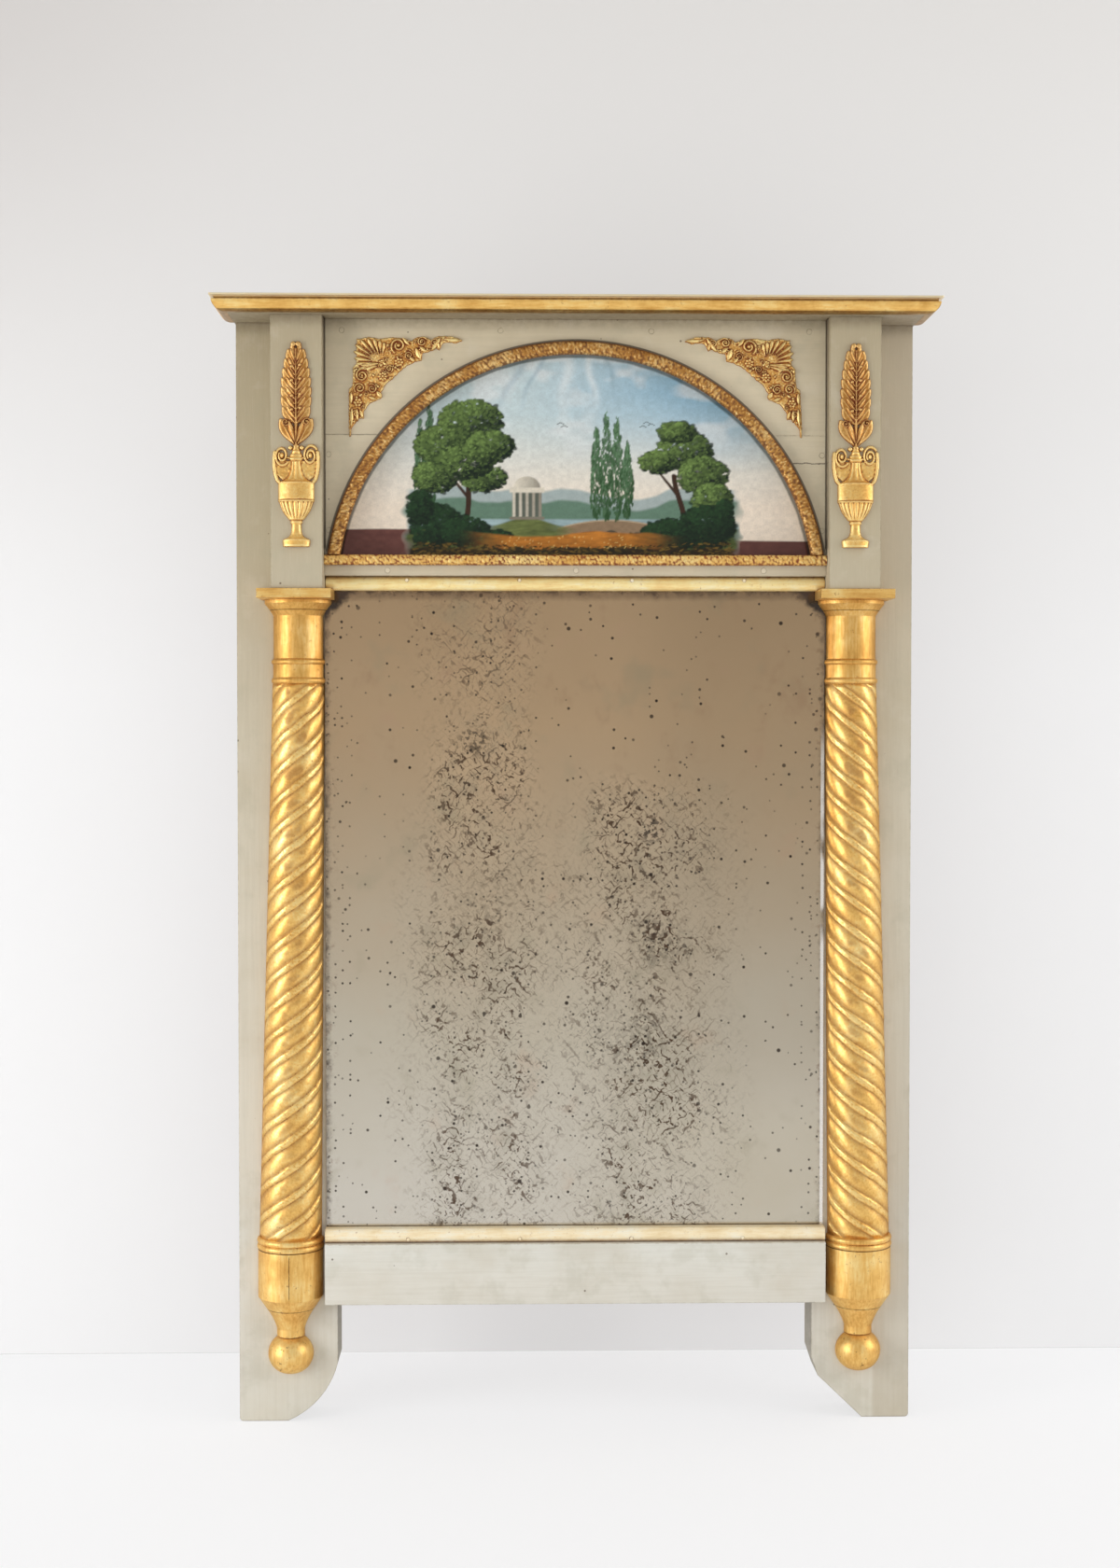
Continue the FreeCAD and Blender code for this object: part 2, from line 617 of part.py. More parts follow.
def arch_moulding():
    """Gilded arch round the picture, standing on the straight moulding."""
    shoulder = FRIEZE_FACE + ARCH_RELIEF - ARCH_ROUND
    middle = (ARCH_INNER_R + ARCH_OUTER_R) / 2
    profile = [
        (ARCH_INNER_R, FRIEZE_FACE),
        (ARCH_OUTER_R, FRIEZE_FACE),
        (ARCH_OUTER_R, shoulder),
        (ARCH_INNER_R, shoulder, middle, FRIEZE_FACE + ARCH_RELIEF),
    ]
    edges = []
    start = profile[-1][:2]
    for point in profile:
        a = Vector(start[0], BACK_Y - start[1], ARCH_Z)
        b = Vector(point[0], BACK_Y - point[1], ARCH_Z)
        if len(point) == 4:
            edges.append(Part.Arc(a, Vector(point[2], BACK_Y - point[3], ARCH_Z), b).toShape())
        else:
            edges.append(Part.LineSegment(a, b).toShape())
        start = point[:2]
    ring = Part.Face(Part.Wire(edges)).revolve(Vector(0, 0, ARCH_Z), Vector(0, -1, 0), 180)
    above = box(-ARCH_OUTER_R, ARCH_OUTER_R, FRIEZE_FACE, FRIEZE_FACE + ARCH_RELIEF,
                ARCH_BASE_TOP, ARCH_Z + ARCH_OUTER_R)
    return ring.common(above)


def arch_base_moulding():
    """Straight gilded moulding under the picture."""
    half = FIELD_HALF - ARCH_BASE_END_GAP
    shoulder = FRIEZE_FACE + ARCH_RELIEF - ARCH_ROUND
    profile = [
        (ARCH_BASE_BOTTOM, FRIEZE_FACE),
        (ARCH_BASE_BOTTOM, shoulder),
        (ARCH_BASE_TOP, shoulder, (ARCH_BASE_BOTTOM + ARCH_BASE_TOP) / 2, FRIEZE_FACE + ARCH_RELIEF),
        (ARCH_BASE_TOP, FRIEZE_FACE),
    ]
    return run_along_x(profile, -half, half)


# ---------------------------------------------------------------- pilaster blocks and columns
def pilaster_block(side):
    """Painted block between the cornice and a column."""
    body = box(side * FIELD_HALF, side * BLOCK_OUTER, POST_THICK, BLOCK_FACE, BLOCK_BOTTOM, CARCASS_HEIGHT)
    cuts = [back_screw(x, z, 0, BLOCK_SCREW_LENGTH, HOLE_GAP) for x, z in block_screw_places(side)]
    return drilled(body, cuts + [plate_notch(side)])


def plate_notch(side):
    """Space that a block and the top of a column leave for the edge of the mirror plate."""
    return box(0, side * (PLATE_HALF + COLUMN_CLEARANCE), POST_THICK, PLATE_FACE + NOTCH_CLEARANCE,
               SHAFT_BOTTOM, SIGHT_TOP + PLATE_REBATE + NOTCH_CLEARANCE)


def abacus(side):
    """Square slab on a column; it clears the mirror plate behind its inner end."""
    x = side * COLUMN_TOP_X
    slab = box(x - ABACUS_HALF_WIDTH, x + ABACUS_HALF_WIDTH, POST_THICK, POST_THICK + ABACUS_REACH,
               CAPITAL_TOP, BLOCK_BOTTOM)
    return slab.cut(plate_notch(side))


def capital(side):
    """Step, echinus, plain neck and the two beads with their band, in one turning."""
    step_bottom = CAPITAL_TOP - CAPITAL_STEP
    echinus_mid = ((NECK_RADIUS + ECHINUS_RADIUS) / 2 - ECHINUS_HOLLOW, (NECK_TOP + step_bottom) / 2)
    bead_radius = SHAFT_TOP_RADIUS
    profile = [
        (0, CAPITAL_TOP),
        (ECHINUS_RADIUS, CAPITAL_TOP),
        (ECHINUS_RADIUS, step_bottom),
        (NECK_RADIUS, NECK_TOP) + echinus_mid,
        (NECK_RADIUS, NECK_BOTTOM),
        (BAND_RADIUS, BAND_TOP, bead_radius + BEAD_SWELL / 2, (NECK_BOTTOM + BAND_TOP) / 2),
        (BAND_RADIUS, BAND_BOTTOM),
        (BAND_RADIUS, SHAFT_TOP, bead_radius + BEAD_SWELL / 2, (BAND_BOTTOM + SHAFT_TOP) / 2),
        (0, SHAFT_TOP),
    ]
    body = turned_half(COLUMN_TOP_X, profile)
    return finish_column_piece(body, side)


def finish_column_piece(body, side):
    """Drill a piece for its screws, clear the mirror plate and put it on its side."""
    cuts = [back_screw(x, z, 0, COLUMN_SCREW_LENGTH, HOLE_GAP) for x, z in column_screw_places(1)]
    cuts.append(plate_notch(1))
    piece = drilled(body, cuts)
    if side < 0:
        piece = piece.mirror(Vector(0, 0, 0), Vector(1, 0, 0))
    return piece


def half_disc_wire(x, radius, z):
    """Half circle in front of the post with its flat back, level at one height."""
    y = BACK_Y - POST_THICK
    ends = (Vector(x + radius, y, z), Vector(x - radius, y, z))
    arc = Part.Arc(ends[0], Vector(x, y - radius, z), ends[1]).toShape()
    return Part.Wire([arc, Part.LineSegment(ends[1], ends[0]).toShape()])


def shaft(side):
    """Tapered half-round shaft; its inner edge stays nearly upright."""
    wires = [
        half_disc_wire(COLUMN_FOOT_X, SHAFT_BOTTOM_RADIUS, SHAFT_BOTTOM),
        half_disc_wire(COLUMN_TOP_X, SHAFT_TOP_RADIUS, SHAFT_TOP),
    ]
    return finish_column_piece(Part.makeLoft(wires, True, True), side)


def drum(side):
    """Two beads, plain drum and the chamfer under it."""
    bead_radius = DRUM_RADIUS - BEAD_SWELL / 2
    middle_bead = SHAFT_BOTTOM - BASE_BEAD
    profile = [
        (0, SHAFT_BOTTOM),
        (bead_radius, SHAFT_BOTTOM),
        (bead_radius, middle_bead, DRUM_RADIUS + BEAD_SWELL / 2, (SHAFT_BOTTOM + middle_bead) / 2),
        (bead_radius, DRUM_TOP, DRUM_RADIUS + BEAD_SWELL / 2, (middle_bead + DRUM_TOP) / 2),
        (DRUM_RADIUS, DRUM_TOP),
        (DRUM_RADIUS, DRUM_BOTTOM),
        (DRUM_FOOT_RADIUS, FINIAL_TOP),
        (0, FINIAL_TOP),
    ]
    return finish_column_piece(turned_half(COLUMN_FOOT_X, profile), side)


def finial(side):
    """Cup, neck and flattened ball under a column."""
    cup_mid = ((DRUM_FOOT_RADIUS + CUP_NECK_RADIUS) / 2 - CUP_HOLLOW, (FINIAL_TOP + CUP_BOTTOM) / 2)
    profile = [
        (0, FINIAL_TOP),
        (DRUM_FOOT_RADIUS, FINIAL_TOP),
        (CUP_NECK_RADIUS, CUP_BOTTOM) + cup_mid,
        (CUP_NECK_RADIUS, BALL_TOP),
        (BALL_ROOT_RADIUS, BALL_TOP),
        (BALL_TIP_RADIUS, BALL_BOTTOM, BALL_RADIUS, BALL_TOP - BALL_WAIST_DROP),
        (0, BALL_BOTTOM),
    ]
    return finish_column_piece(turned_half(COLUMN_FOOT_X, profile), side)


# ---------------------------------------------------------------- cornice
def cornice_board():
    """Thick board on top of the posts, the frieze and the blocks."""
    half = POST_OUTER + CORNICE_SIDE_REACH
    return box(-half, half, 0, CORNICE_BOARD_FACE, CARCASS_HEIGHT, CARCASS_HEIGHT + CORNICE_THICK)


def ovolo_profile():
    """Ovolo strip as (reach, height): round below, then a quirk and a fillet."""
    base = CARCASS_HEIGHT
    top = base + CORNICE_THICK
    round_x = OVOLO_WIDTH - FILLET_SET_OUT
    quirk_top = base + OVOLO_RISE + QUIRK_HEIGHT
    slant = math.sqrt(0.5)
    middle = (OVOLO_FOOT + (round_x - OVOLO_FOOT) * slant, base + OVOLO_RISE * (1 - slant))
    return [
        (0, base),
        (OVOLO_FOOT, base),
        (round_x, base + OVOLO_RISE) + middle,
        (round_x - QUIRK_SET_IN, base + OVOLO_RISE),
        (round_x - QUIRK_SET_IN, quirk_top),
        (OVOLO_WIDTH, quirk_top),
        (OVOLO_WIDTH, top),
        (0, top),
    ]


def plan_prism(points):
    """Upright prism over the cornice's height from (x, depth) corners."""
    corners = [Vector(x, BACK_Y - d, CARCASS_HEIGHT) for x, d in points]
    face = Part.Face(Part.makePolygon(corners + corners[:1]))
    return face.extrude(Vector(0, 0, CORNICE_THICK))


def cornice_front(x0, x1):
    """Length of the front strip, mitred where it meets a return."""
    inner = POST_OUTER + CORNICE_SIDE_REACH
    outer = inner + OVOLO_WIDTH
    profile = []
    for p in ovolo_profile():
        turned = [(p[i + 1], CORNICE_BOARD_FACE + p[i]) for i in range(0, len(p), 2)]
        profile.append(tuple(v for pair in turned for v in pair))
    strip = run_along_x(profile, -outer, outer)
    front = CORNICE_BOARD_FACE + OVOLO_WIDTH
    left = (-outer, -inner) if x0 is None else (x0, x0)
    right = (outer, inner) if x1 is None else (x1, x1)
    return strip.common(plan_prism([(left[0], front), (right[0], front), (right[1], CORNICE_BOARD_FACE),
                                    (left[1], CORNICE_BOARD_FACE)]))


def cornice_return(side):
    """Strip along one end of the cornice board, mitred in front and cut off level with the post's face."""
    inner = POST_OUTER + CORNICE_SIDE_REACH
    outer = inner + OVOLO_WIDTH
    front = CORNICE_BOARD_FACE + OVOLO_WIDTH
    profile = [tuple(inner + v if i % 2 == 0 else v for i, v in enumerate(p)) for p in ovolo_profile()]
    strip = plate(profile, POST_THICK, front)
    strip = strip.common(plan_prism([(inner, 0), (outer, 0), (outer, front), (inner, CORNICE_BOARD_FACE)]))
    if side < 0:
        strip = strip.mirror(Vector(0, 0, 0), Vector(1, 0, 0))
    return strip


def glue_blocks():
    """Three-cornered blocks in the angle of the top rail and the cornice board."""
    blocks = []
    for x in GLUE_BLOCK_X:
        profile = [
            (CARCASS_HEIGHT, RAIL_BACK),
            (CARCASS_HEIGHT - GLUE_BLOCK_SIDE, RAIL_BACK),
            (CARCASS_HEIGHT, RAIL_BACK - GLUE_BLOCK_SIDE),
        ]
        blocks.append(run_along_x(profile, x - GLUE_BLOCK_LENGTH / 2, x + GLUE_BLOCK_LENGTH / 2))
    return Part.makeCompound(blocks)


# ---------------------------------------------------------------- ornaments
def leaf(root, tip, width, thick, base_depth):
    """Pointed leaf between two points of the front, bounded by two arcs."""
    middle = ((root[0] + tip[0]) / 2, (root[1] + tip[1]) / 2)
    length = math.hypot(tip[0] - root[0], tip[1] - root[1])
    across = ((root[1] - tip[1]) / length * width / 2, (tip[0] - root[0]) / length * width / 2)
    points = [
        (tip[0], tip[1], middle[0] + across[0], middle[1] + across[1]),
        (root[0], root[1], middle[0] - across[0], middle[1] - across[1]),
    ]
    return plate(points, base_depth, base_depth + thick)


def leaf_spray(side):
    """Upright spray: pairs of pointed leaves on a stem over one pair of large lower leaves."""
    x = side * BLOCK_X
    foot = BLOCK_BOTTOM + SPRAY_FOOT_RISE
    top = foot + SPRAY_HEIGHT
    low_thick = SPRAY_THICK - SPRAY_STEP
    spray = leaf((x, foot), (x, top), SPRAY_LEAF_WIDTH, SPRAY_THICK, BLOCK_FACE)
    for turn in (-1, 1):
        tip = (x + turn * SPRAY_HALF_WIDTH, foot + SPRAY_LOW_LEAF)
        spray = spray.fuse(leaf((x, foot), tip, SPRAY_LOW_LEAF / 3, low_thick, BLOCK_FACE))
    pitch = (SPRAY_HEIGHT - SPRAY_LOW_LEAF) / (SPRAY_PAIRS + 1)
    for pair in range(SPRAY_PAIRS):
        root = foot + 0.75 * SPRAY_LOW_LEAF + pair * pitch
        reach = (SPRAY_HALF_WIDTH - 1) * (1 - 0.08 * pair)
        for turn in (-1, 1):
            tip = (x + turn * reach, root + 1.7 * pitch)
            spray = spray.fuse(leaf((x, root), tip, SPRAY_LEAF_WIDTH, low_thick, BLOCK_FACE))
    return spray.removeSplitter()


def urn(side):
    """Half urn on a round foot, flattened against the block, with a volute handle on each side."""
    x = side * BLOCK_X
    foot = BLOCK_BOTTOM + URN_FOOT_RISE
    profile = [
        (0, 0),
        (URN_FOOT_RADIUS, 0),
        (URN_FOOT_RADIUS, URN_FOOT_HEIGHT),
        (URN_STEM_RADIUS, URN_STEM_TOP),
        (URN_BODY_RADIUS, URN_BAND_BOTTOM, 0.82 * URN_BODY_RADIUS, (URN_STEM_TOP + URN_BAND_BOTTOM) / 2),
        (URN_BODY_RADIUS, URN_BAND_TOP),
        (URN_NECK_BASE_RADIUS, URN_BAND_TOP),
        (URN_NECK_RADIUS, URN_NECK_TOP),
        (URN_LIP_RADIUS, URN_NECK_TOP),
        (URN_LIP_RADIUS, URN_HEIGHT),
        (0, URN_HEIGHT),
    ]
    half = flat_face(profile).revolve(Vector(0, 0, 0), Vector(0, 0, -1), 180)
    flat = FreeCAD.Matrix()
    flat.scale(1, URN_FLATNESS, 1)
    half = half.transformGeometry(flat)
    half.translate(Vector(x, BACK_Y - BLOCK_FACE, foot))
    strap_top = URN_HEIGHT - URN_VOLUTE_DROP
    d1 = BLOCK_FACE + URN_HANDLE_THICK
    for turn in (-1, 1):
        volute_x = x + turn * (URN_HALF_WIDTH - URN_VOLUTE_RADIUS)
        outer_x = x + turn * URN_HALF_WIDTH
        half = half.fuse(rod(volute_x, foot + strap_top, URN_VOLUTE_RADIUS, BLOCK_FACE, d1))
        strap = [
            (outer_x, foot + strap_top),
            (x + turn * URN_BODY_RADIUS, foot + URN_BAND_TOP),
            (x + turn * (URN_BODY_RADIUS - URN_HANDLE_THICK), foot + URN_BAND_TOP),
            (outer_x - turn * URN_HANDLE_THICK, foot + strap_top),
        ]
        half = half.fuse(plate(strap, BLOCK_FACE, d1))
    return half


def spandrel_ornament(side):
    """Cast corner piece: a three-cornered ground, a palmette in the corner and scrolls on both arms."""
    corner = (FIELD_HALF - SPANDREL_SIDE_GAP, CARCASS_HEIGHT - SPANDREL_TOP_DROP)
    radius = ARCH_OUTER_R + SPANDREL_ARCH_GAP
    tip_x = math.sqrt(radius ** 2 - (corner[1] - ARCH_Z) ** 2)
    tip_z = ARCH_Z + math.sqrt(radius ** 2 - corner[0] ** 2)
    middle = (math.atan2(corner[1] - ARCH_Z, tip_x) + math.atan2(tip_z - ARCH_Z, corner[0])) / 2
    ground = [
        corner,
        (corner[0], tip_z),
        (tip_x, corner[1], radius * math.cos(middle), ARCH_Z + radius * math.sin(middle)),
    ]

    def place(across, down):
        return (corner[0] - across * (corner[0] - tip_x), corner[1] - down * (corner[1] - tip_z))

    ornament = plate(ground, FRIEZE_FACE, FRIEZE_FACE + SPANDREL_GROUND)
    d1 = FRIEZE_FACE + SPANDREL_THICK
    heart = place(*PALMETTE_ROOT)
    for index in range(PALMETTE_LEAVES):
        angle = math.radians(PALMETTE_FIRST_ANGLE + index * PALMETTE_SPREAD / (PALMETTE_LEAVES - 1))
        tip = (heart[0] + PALMETTE_LENGTH * math.cos(angle), heart[1] + PALMETTE_LENGTH * math.sin(angle))
        ornament = ornament.fuse(leaf(heart, tip, PALMETTE_LEAF_WIDTH, SPANDREL_THICK, FRIEZE_FACE))
    for across, down, size in SPANDREL_SCROLLS:
        centre = place(across, down)
        ornament = ornament.fuse(rod(centre[0], centre[1], size * (corner[0] - tip_x), FRIEZE_FACE, d1))
    ornament = ornament.removeSplitter()
    if side < 0:
        ornament = ornament.mirror(Vector(0, 0, 0), Vector(1, 0, 0))
    return ornament


# ---------------------------------------------------------------- hangers
def hanger_plate(side):
    """Iron plate let into the back of a post; its inner end holds the hole for a wall hook."""
    body = box(side * (POST_INNER - HANGER_OVERHANG), side * (POST_INNER + HANGER_BEARING), 0, HANGER_THICK,
               HANGER_Z - HANGER_HEIGHT / 2, HANGER_Z + HANGER_HEIGHT / 2)
    hole_x = side * (POST_INNER - HANGER_HOLE_INSET)
    cuts = [rod(hole_x, HANGER_Z, HANGER_HOLE_RADIUS, 0, HANGER_THICK)]
    cuts += [hanger_screw(x, z, HOLE_GAP) for x, z in hanger_screw_places(side)]
    return drilled(body, cuts)


# ---------------------------------------------------------------- assembly
def build():
    """All pieces by node name."""
    pieces = {}
    for name, side in SIDES.items():
        pieces[name + "_post"] = post(side)
        pieces[name + "_pilaster_block"] = pilaster_block(side)
        pieces[name + "_abacus"] = abacus(side)
        pieces[name + "_capital"] = capital(side)
        pieces[name + "_shaft"] = shaft(side)
        pieces[name + "_drum"] = drum(side)
        pieces[name + "_finial"] = finial(side)
        pieces[name + "_leaf_spray"] = leaf_spray(side)
        pieces[name + "_urn"] = urn(side)
        pieces[name + "_spandrel_ornament"] = spandrel_ornament(side)
        pieces[name + "_hanger_plate"] = hanger_plate(side)
        pieces["cornice_" + name + "_return"] = cornice_return(side)
    for name, span in RAILS.items():
        pieces[name] = rail(*span)
    pieces["frame_pegs"] = frame_pegs()
    pieces.update(backboards())
    pieces["bottom_apron"] = bottom_apron()
    pieces["mirror_plate"] = mirror_plate()
    pieces["mirror_top_moulding"] = mirror_moulding(FIELD_HALF - COLUMN_CLEARANCE, SILL_BOTTOM, SIGHT_TOP)
    pieces["mirror_bottom_moulding"] = mirror_moulding(LOWER_HALF, APRON_TOP, SIGHT_BOTTOM)
    pieces.update(frieze_boards())
    pieces["lunette_glass"] = lunette(GLASS_BACK, GLASS_FACE)
    pieces["lunette_backing"] = lunette(POST_THICK, GLASS_BACK)
    pieces["lunette_cleats"] = lunette_cleats()
    pieces["arch_moulding"] = arch_moulding()
    pieces["arch_base_moulding"] = arch_base_moulding()
    pieces["cornice_board"] = cornice_board()
    pieces["cornice_front_left"] = cornice_front(None, FRONT_SPLICE_X)
    pieces["cornice_front_right"] = cornice_front(FRONT_SPLICE_X, None)
    pieces["glue_blocks"] = glue_blocks()
    sides = SIDES.values()
    pieces["block_screws"] = Part.makeCompound(
        [back_screw(x, z, 0, BLOCK_SCREW_LENGTH) for side in sides for x, z in block_screw_places(side)])
    pieces["column_screws"] = Part.makeCompound(
        [back_screw(x, z, 0, COLUMN_SCREW_LENGTH) for side in sides for x, z in column_screw_places(side)])
    pieces["hanger_screws"] = Part.makeCompound(
        [hanger_screw(x, z) for side in sides for x, z in hanger_screw_places(side)])
    pieces["apron_screws"] = Part.makeCompound([apron_screw(x) for x in APRON_SCREW_X])
    pieces["frieze_nails"] = Part.makeCompound([frieze_nail(x, z) for x, z in frieze_nail_places()])
    pieces["retaining_pins"] = Part.makeCompound([retaining_pin(x, z) for x, z in pin_places()])
    return pieces


def main():
    """Write one STEP file for each piece."""
    os.makedirs("parts", exist_ok=True)
    for name, shape in build().items():
        shape.exportStep("parts/" + name + ".step")
        print(name, len(shape.Solids), shape.isValid(), round(shape.Volume))


main()
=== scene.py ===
import math

import bmesh
import bpy
import numpy as np
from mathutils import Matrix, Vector


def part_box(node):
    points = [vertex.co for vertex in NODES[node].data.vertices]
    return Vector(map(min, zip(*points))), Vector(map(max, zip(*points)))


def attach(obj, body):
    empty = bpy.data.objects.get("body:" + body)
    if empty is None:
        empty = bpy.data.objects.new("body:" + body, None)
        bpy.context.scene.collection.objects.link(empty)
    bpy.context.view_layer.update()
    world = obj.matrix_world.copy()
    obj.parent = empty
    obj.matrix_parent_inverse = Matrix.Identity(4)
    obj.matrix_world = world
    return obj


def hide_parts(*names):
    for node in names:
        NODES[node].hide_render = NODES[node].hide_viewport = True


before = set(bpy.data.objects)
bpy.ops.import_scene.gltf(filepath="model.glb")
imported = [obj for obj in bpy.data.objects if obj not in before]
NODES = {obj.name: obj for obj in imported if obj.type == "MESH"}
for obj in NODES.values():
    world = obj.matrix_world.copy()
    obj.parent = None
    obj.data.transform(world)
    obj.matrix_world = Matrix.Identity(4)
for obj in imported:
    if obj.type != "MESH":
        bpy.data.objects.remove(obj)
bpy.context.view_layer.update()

# Sizes are in millimetres in the mirror's own frame; depth is counted forward from the back plane.
BACK_Y = 65.5
POST_FACE = 54.0
BLOCK_FACE = 104.0
FRIEZE_FACE = 80.0
BLOCK_X = 294.0
BLOCK_EDGES = (266.2, 321.9)
CARCASS_TOP = 1183.1
ARCH_CENTRE_Z = 893.0
ARCH_OUTSIDE = 268.2
ARCH_BASE_TOP = 934.0
RIGHT_JOINT_DROP = 29.5
DRUM_CRACK_X = -306
PLATE_FOOT, PLATE_HEIGHT = 212, 685
RELIEF_STEP = 0.5
PICTURE_STEP = 1.0
JOINT_Z = 1000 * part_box("frieze_top_board")[0][2]


def tone(red, green, blue):
    """Paint-chart colour (0-255) as the linear colour that a shader takes."""
    linear = [c / 255 / 12.92 if c <= 10 else ((c / 255 + 0.055) / 1.055) ** 2.4 for c in (red, green, blue)]
    return (*linear, 1.0)


# ---------------------------------------------------------------- sums written on sockets
class Wire:
    """An output socket that takes part in sums: 1 - w, w * 2 + v, w.top(0)."""

    def __init__(self, tree, socket):
        self.tree = tree
        self.socket = socket

    def sum(self, operation, *terms, clamp=False):
        node = self.tree.nodes.new("ShaderNodeMath")
        node.operation = operation
        node.use_clamp = clamp
        for slot, term in zip(node.inputs, terms):
            feed(self.tree, slot, term)
        return Wire(self.tree, node.outputs[0])

    def __rsub__(self, other):
        return self.sum("SUBTRACT", other, self)

    def part(self):
        """What is left over a whole number, also below zero."""
        return self.sum("FLOORED_MODULO", self, 1.0)

    def held(self):
        return self.sum("ADD", self, 0.0, clamp=True)

    def ease(self, start, end):
        """0 before start, 1 after end, eased between."""
        node = self.tree.nodes.new("ShaderNodeMapRange")
        node.interpolation_type = "SMOOTHSTEP"
        for slot, term in zip(node.inputs, (self, start, end, 0.0, 1.0)):
            feed(self.tree, slot, term)
        return Wire(self.tree, node.outputs[0])


SUMS = {"__add__": "ADD", "__radd__": "ADD", "__sub__": "SUBTRACT", "__mul__": "MULTIPLY", "__rmul__": "MULTIPLY",
        "__truediv__": "DIVIDE", "__pow__": "POWER", "__abs__": "ABSOLUTE", "__gt__": "GREATER_THAN",
        "__lt__": "LESS_THAN", "top": "MAXIMUM", "low": "MINIMUM", "sin": "SINE", "cos": "COSINE",
        "arcsin": "ARCSINE"}
for method, operation in SUMS.items():
    setattr(Wire, method, lambda self, *others, operation=operation: self.sum(operation, self, *others))


def feed(tree, slot, term):
    if isinstance(term, Wire):
        tree.links.new(term.socket, slot)
    else:
        slot.default_value = term


class Bench:
    """A node tree on the workbench."""

    def __init__(self, tree):
        self.tree = tree

    def node(self, kind, settings=None, feeds=None):
        """One node: its type, its settings, then what its sockets are given."""
        made = self.tree.nodes.new(kind)
        for key, value in (settings or {}).items():
            if key == "stops":
                stops = made.color_ramp.elements
                while len(stops) < len(value):
                    stops.new(1.0)
                for stop, (place, colour) in zip(stops, value):
                    stop.position = place
                    stop.color = colour
            else:
                setattr(made, key, value)
        for key, term in (feeds or {}).items():
            feed(self.tree, made.inputs[key], term)
        return made

    def out(self, kind, settings=None, feeds=None, output=0):
        return Wire(self.tree, self.node(kind, settings, feeds).outputs[output])

    def split(self, vector):
        node = self.node("ShaderNodeSeparateXYZ", None, {0: vector})
        return [Wire(self.tree, node.outputs[i]) for i in range(3)]

    def join(self, x, y, z):
        return self.out("ShaderNodeCombineXYZ", None, {0: x, 1: y, 2: z})

    def stretched(self, vector, shares):
        return self.out("ShaderNodeVectorMath", {"operation": "MULTIPLY"}, {0: vector, 1: shares})

    def shifted(self, vector, by):
        return self.out("ShaderNodeVectorMath", {"operation": "ADD"}, {0: vector, 1: by})


class Finish(Bench):
    """A surface finish. Grain sizes are in millimetres."""

    def __init__(self, name):
        self.material = bpy.data.materials.new(name)
        self.material.use_nodes = True
        super().__init__(self.material.node_tree)
        self.tree.nodes.clear()
        self.place = self.out("ShaderNodeTexCoord", output=3)
        self.x, self.y, self.z = [axis * 1000 for axis in self.split(self.place)]

    def grain(self, size, detail, rough, shift, shares=(1, 1, 1), warp=0.0):
        """Cloudy pattern from 0 to 1; a small share stretches it along that axis."""
        place = self.stretched(self.shifted(self.place, (shift, 2 * shift, 3 * shift)), shares)
        feeds = {"Vector": place, "Scale": 1000 / size, "Detail": detail, "Roughness": rough, "Distortion": warp}
        return self.out("ShaderNodeTexNoise", None, feeds)

    def spots(self, size, shift=0.0, output=0, flat=False):
        """Distance to the nearest of scattered points (0) or its random colour (1); flat is on an upright face."""
        place = self.shifted(self.place, (shift, 2 * shift, 3 * shift))
        if flat:
            place = self.join(self.x * 0.001 + shift, self.z * 0.001 + 2 * shift, 0.0)
        settings = {"voronoi_dimensions": "2D" if flat else "3D"}
        return self.out("ShaderNodeTexVoronoi", settings, {"Vector": place, "Scale": 1000 / size}, output)

    def chart(self, factor, stops):
        return self.out("ShaderNodeValToRGB", {"stops": stops}, {"Fac": factor})

    def lay(self, cover, paint):
        """Lay a colour over what is there; the mix holds cover between 0 and 1."""
        self.colour = self.out("ShaderNodeMix", {"data_type": "RGBA"}, {0: cover, 6: self.colour, 7: paint}, 2)

    def edge(self, radius):
        """1 on a sharp edge, 0 on a flat."""
        soft = self.out("ShaderNodeBevel", {"samples": 4}, {"Radius": radius / 1000})
        flat = self.out("ShaderNodeNewGeometry", output=3)
        level = self.out("ShaderNodeVectorMath", {"operation": "DOT_PRODUCT"}, {0: soft, 1: flat}, 1)
        return 1 - level

    def corner_shade(self, reach):
        """Painted shade from ambient occlusion: 1 deep in a corner, 0 in the open."""
        return 1 - self.out("ShaderNodeAmbientOcclusion", {"samples": 4}, {"Distance": reach / 1000}, 1)

    def rounded(self, radius):
        return self.out("ShaderNodeBevel", {"samples": 4}, {"Radius": radius / 1000})

    def bump(self, height, depth, under=None):
        """Relief of depth millimetres where height runs from 0 to 1."""
        feeds = {"Height": height, "Distance": depth / 1000, "Strength": 1.0}
        if under:
            feeds["Normal"] = under
        return self.out("ShaderNodeBump", None, feeds)

    def done(self, feeds):
        shader = self.out("ShaderNodeBsdfPrincipled", None, {"Base Color": self.colour, **feeds})
        self.node("ShaderNodeOutputMaterial", None, {0: shader})
        return self.material


# ---------------------------------------------------------------- finishes
def wood_colour(f, along):
    """Colour of old softwood, and its rings and pores."""
    shares = (0.05, 1, 1) if along == "x" else (1, 1, 0.05)
    rings = f.grain(9, 4, 0.6, 0.3, shares, 0.6)
    pores = f.grain(1.4, 2, 0.5, 0.7, shares)
    f.colour = f.chart(rings, [(0.3, tone(112, 78, 46)), (0.5, tone(158, 118, 76)), (0.7, tone(180, 141, 96))])
    f.lay(pores.ease(0.5, 0.75) * 0.45, tone(74, 50, 30))
    f.lay(f.grain(160, 3, 0.5, 1.1).ease(0.35, 0.75) * 0.5, tone(104, 82, 58))
    return f.colour, rings, pores


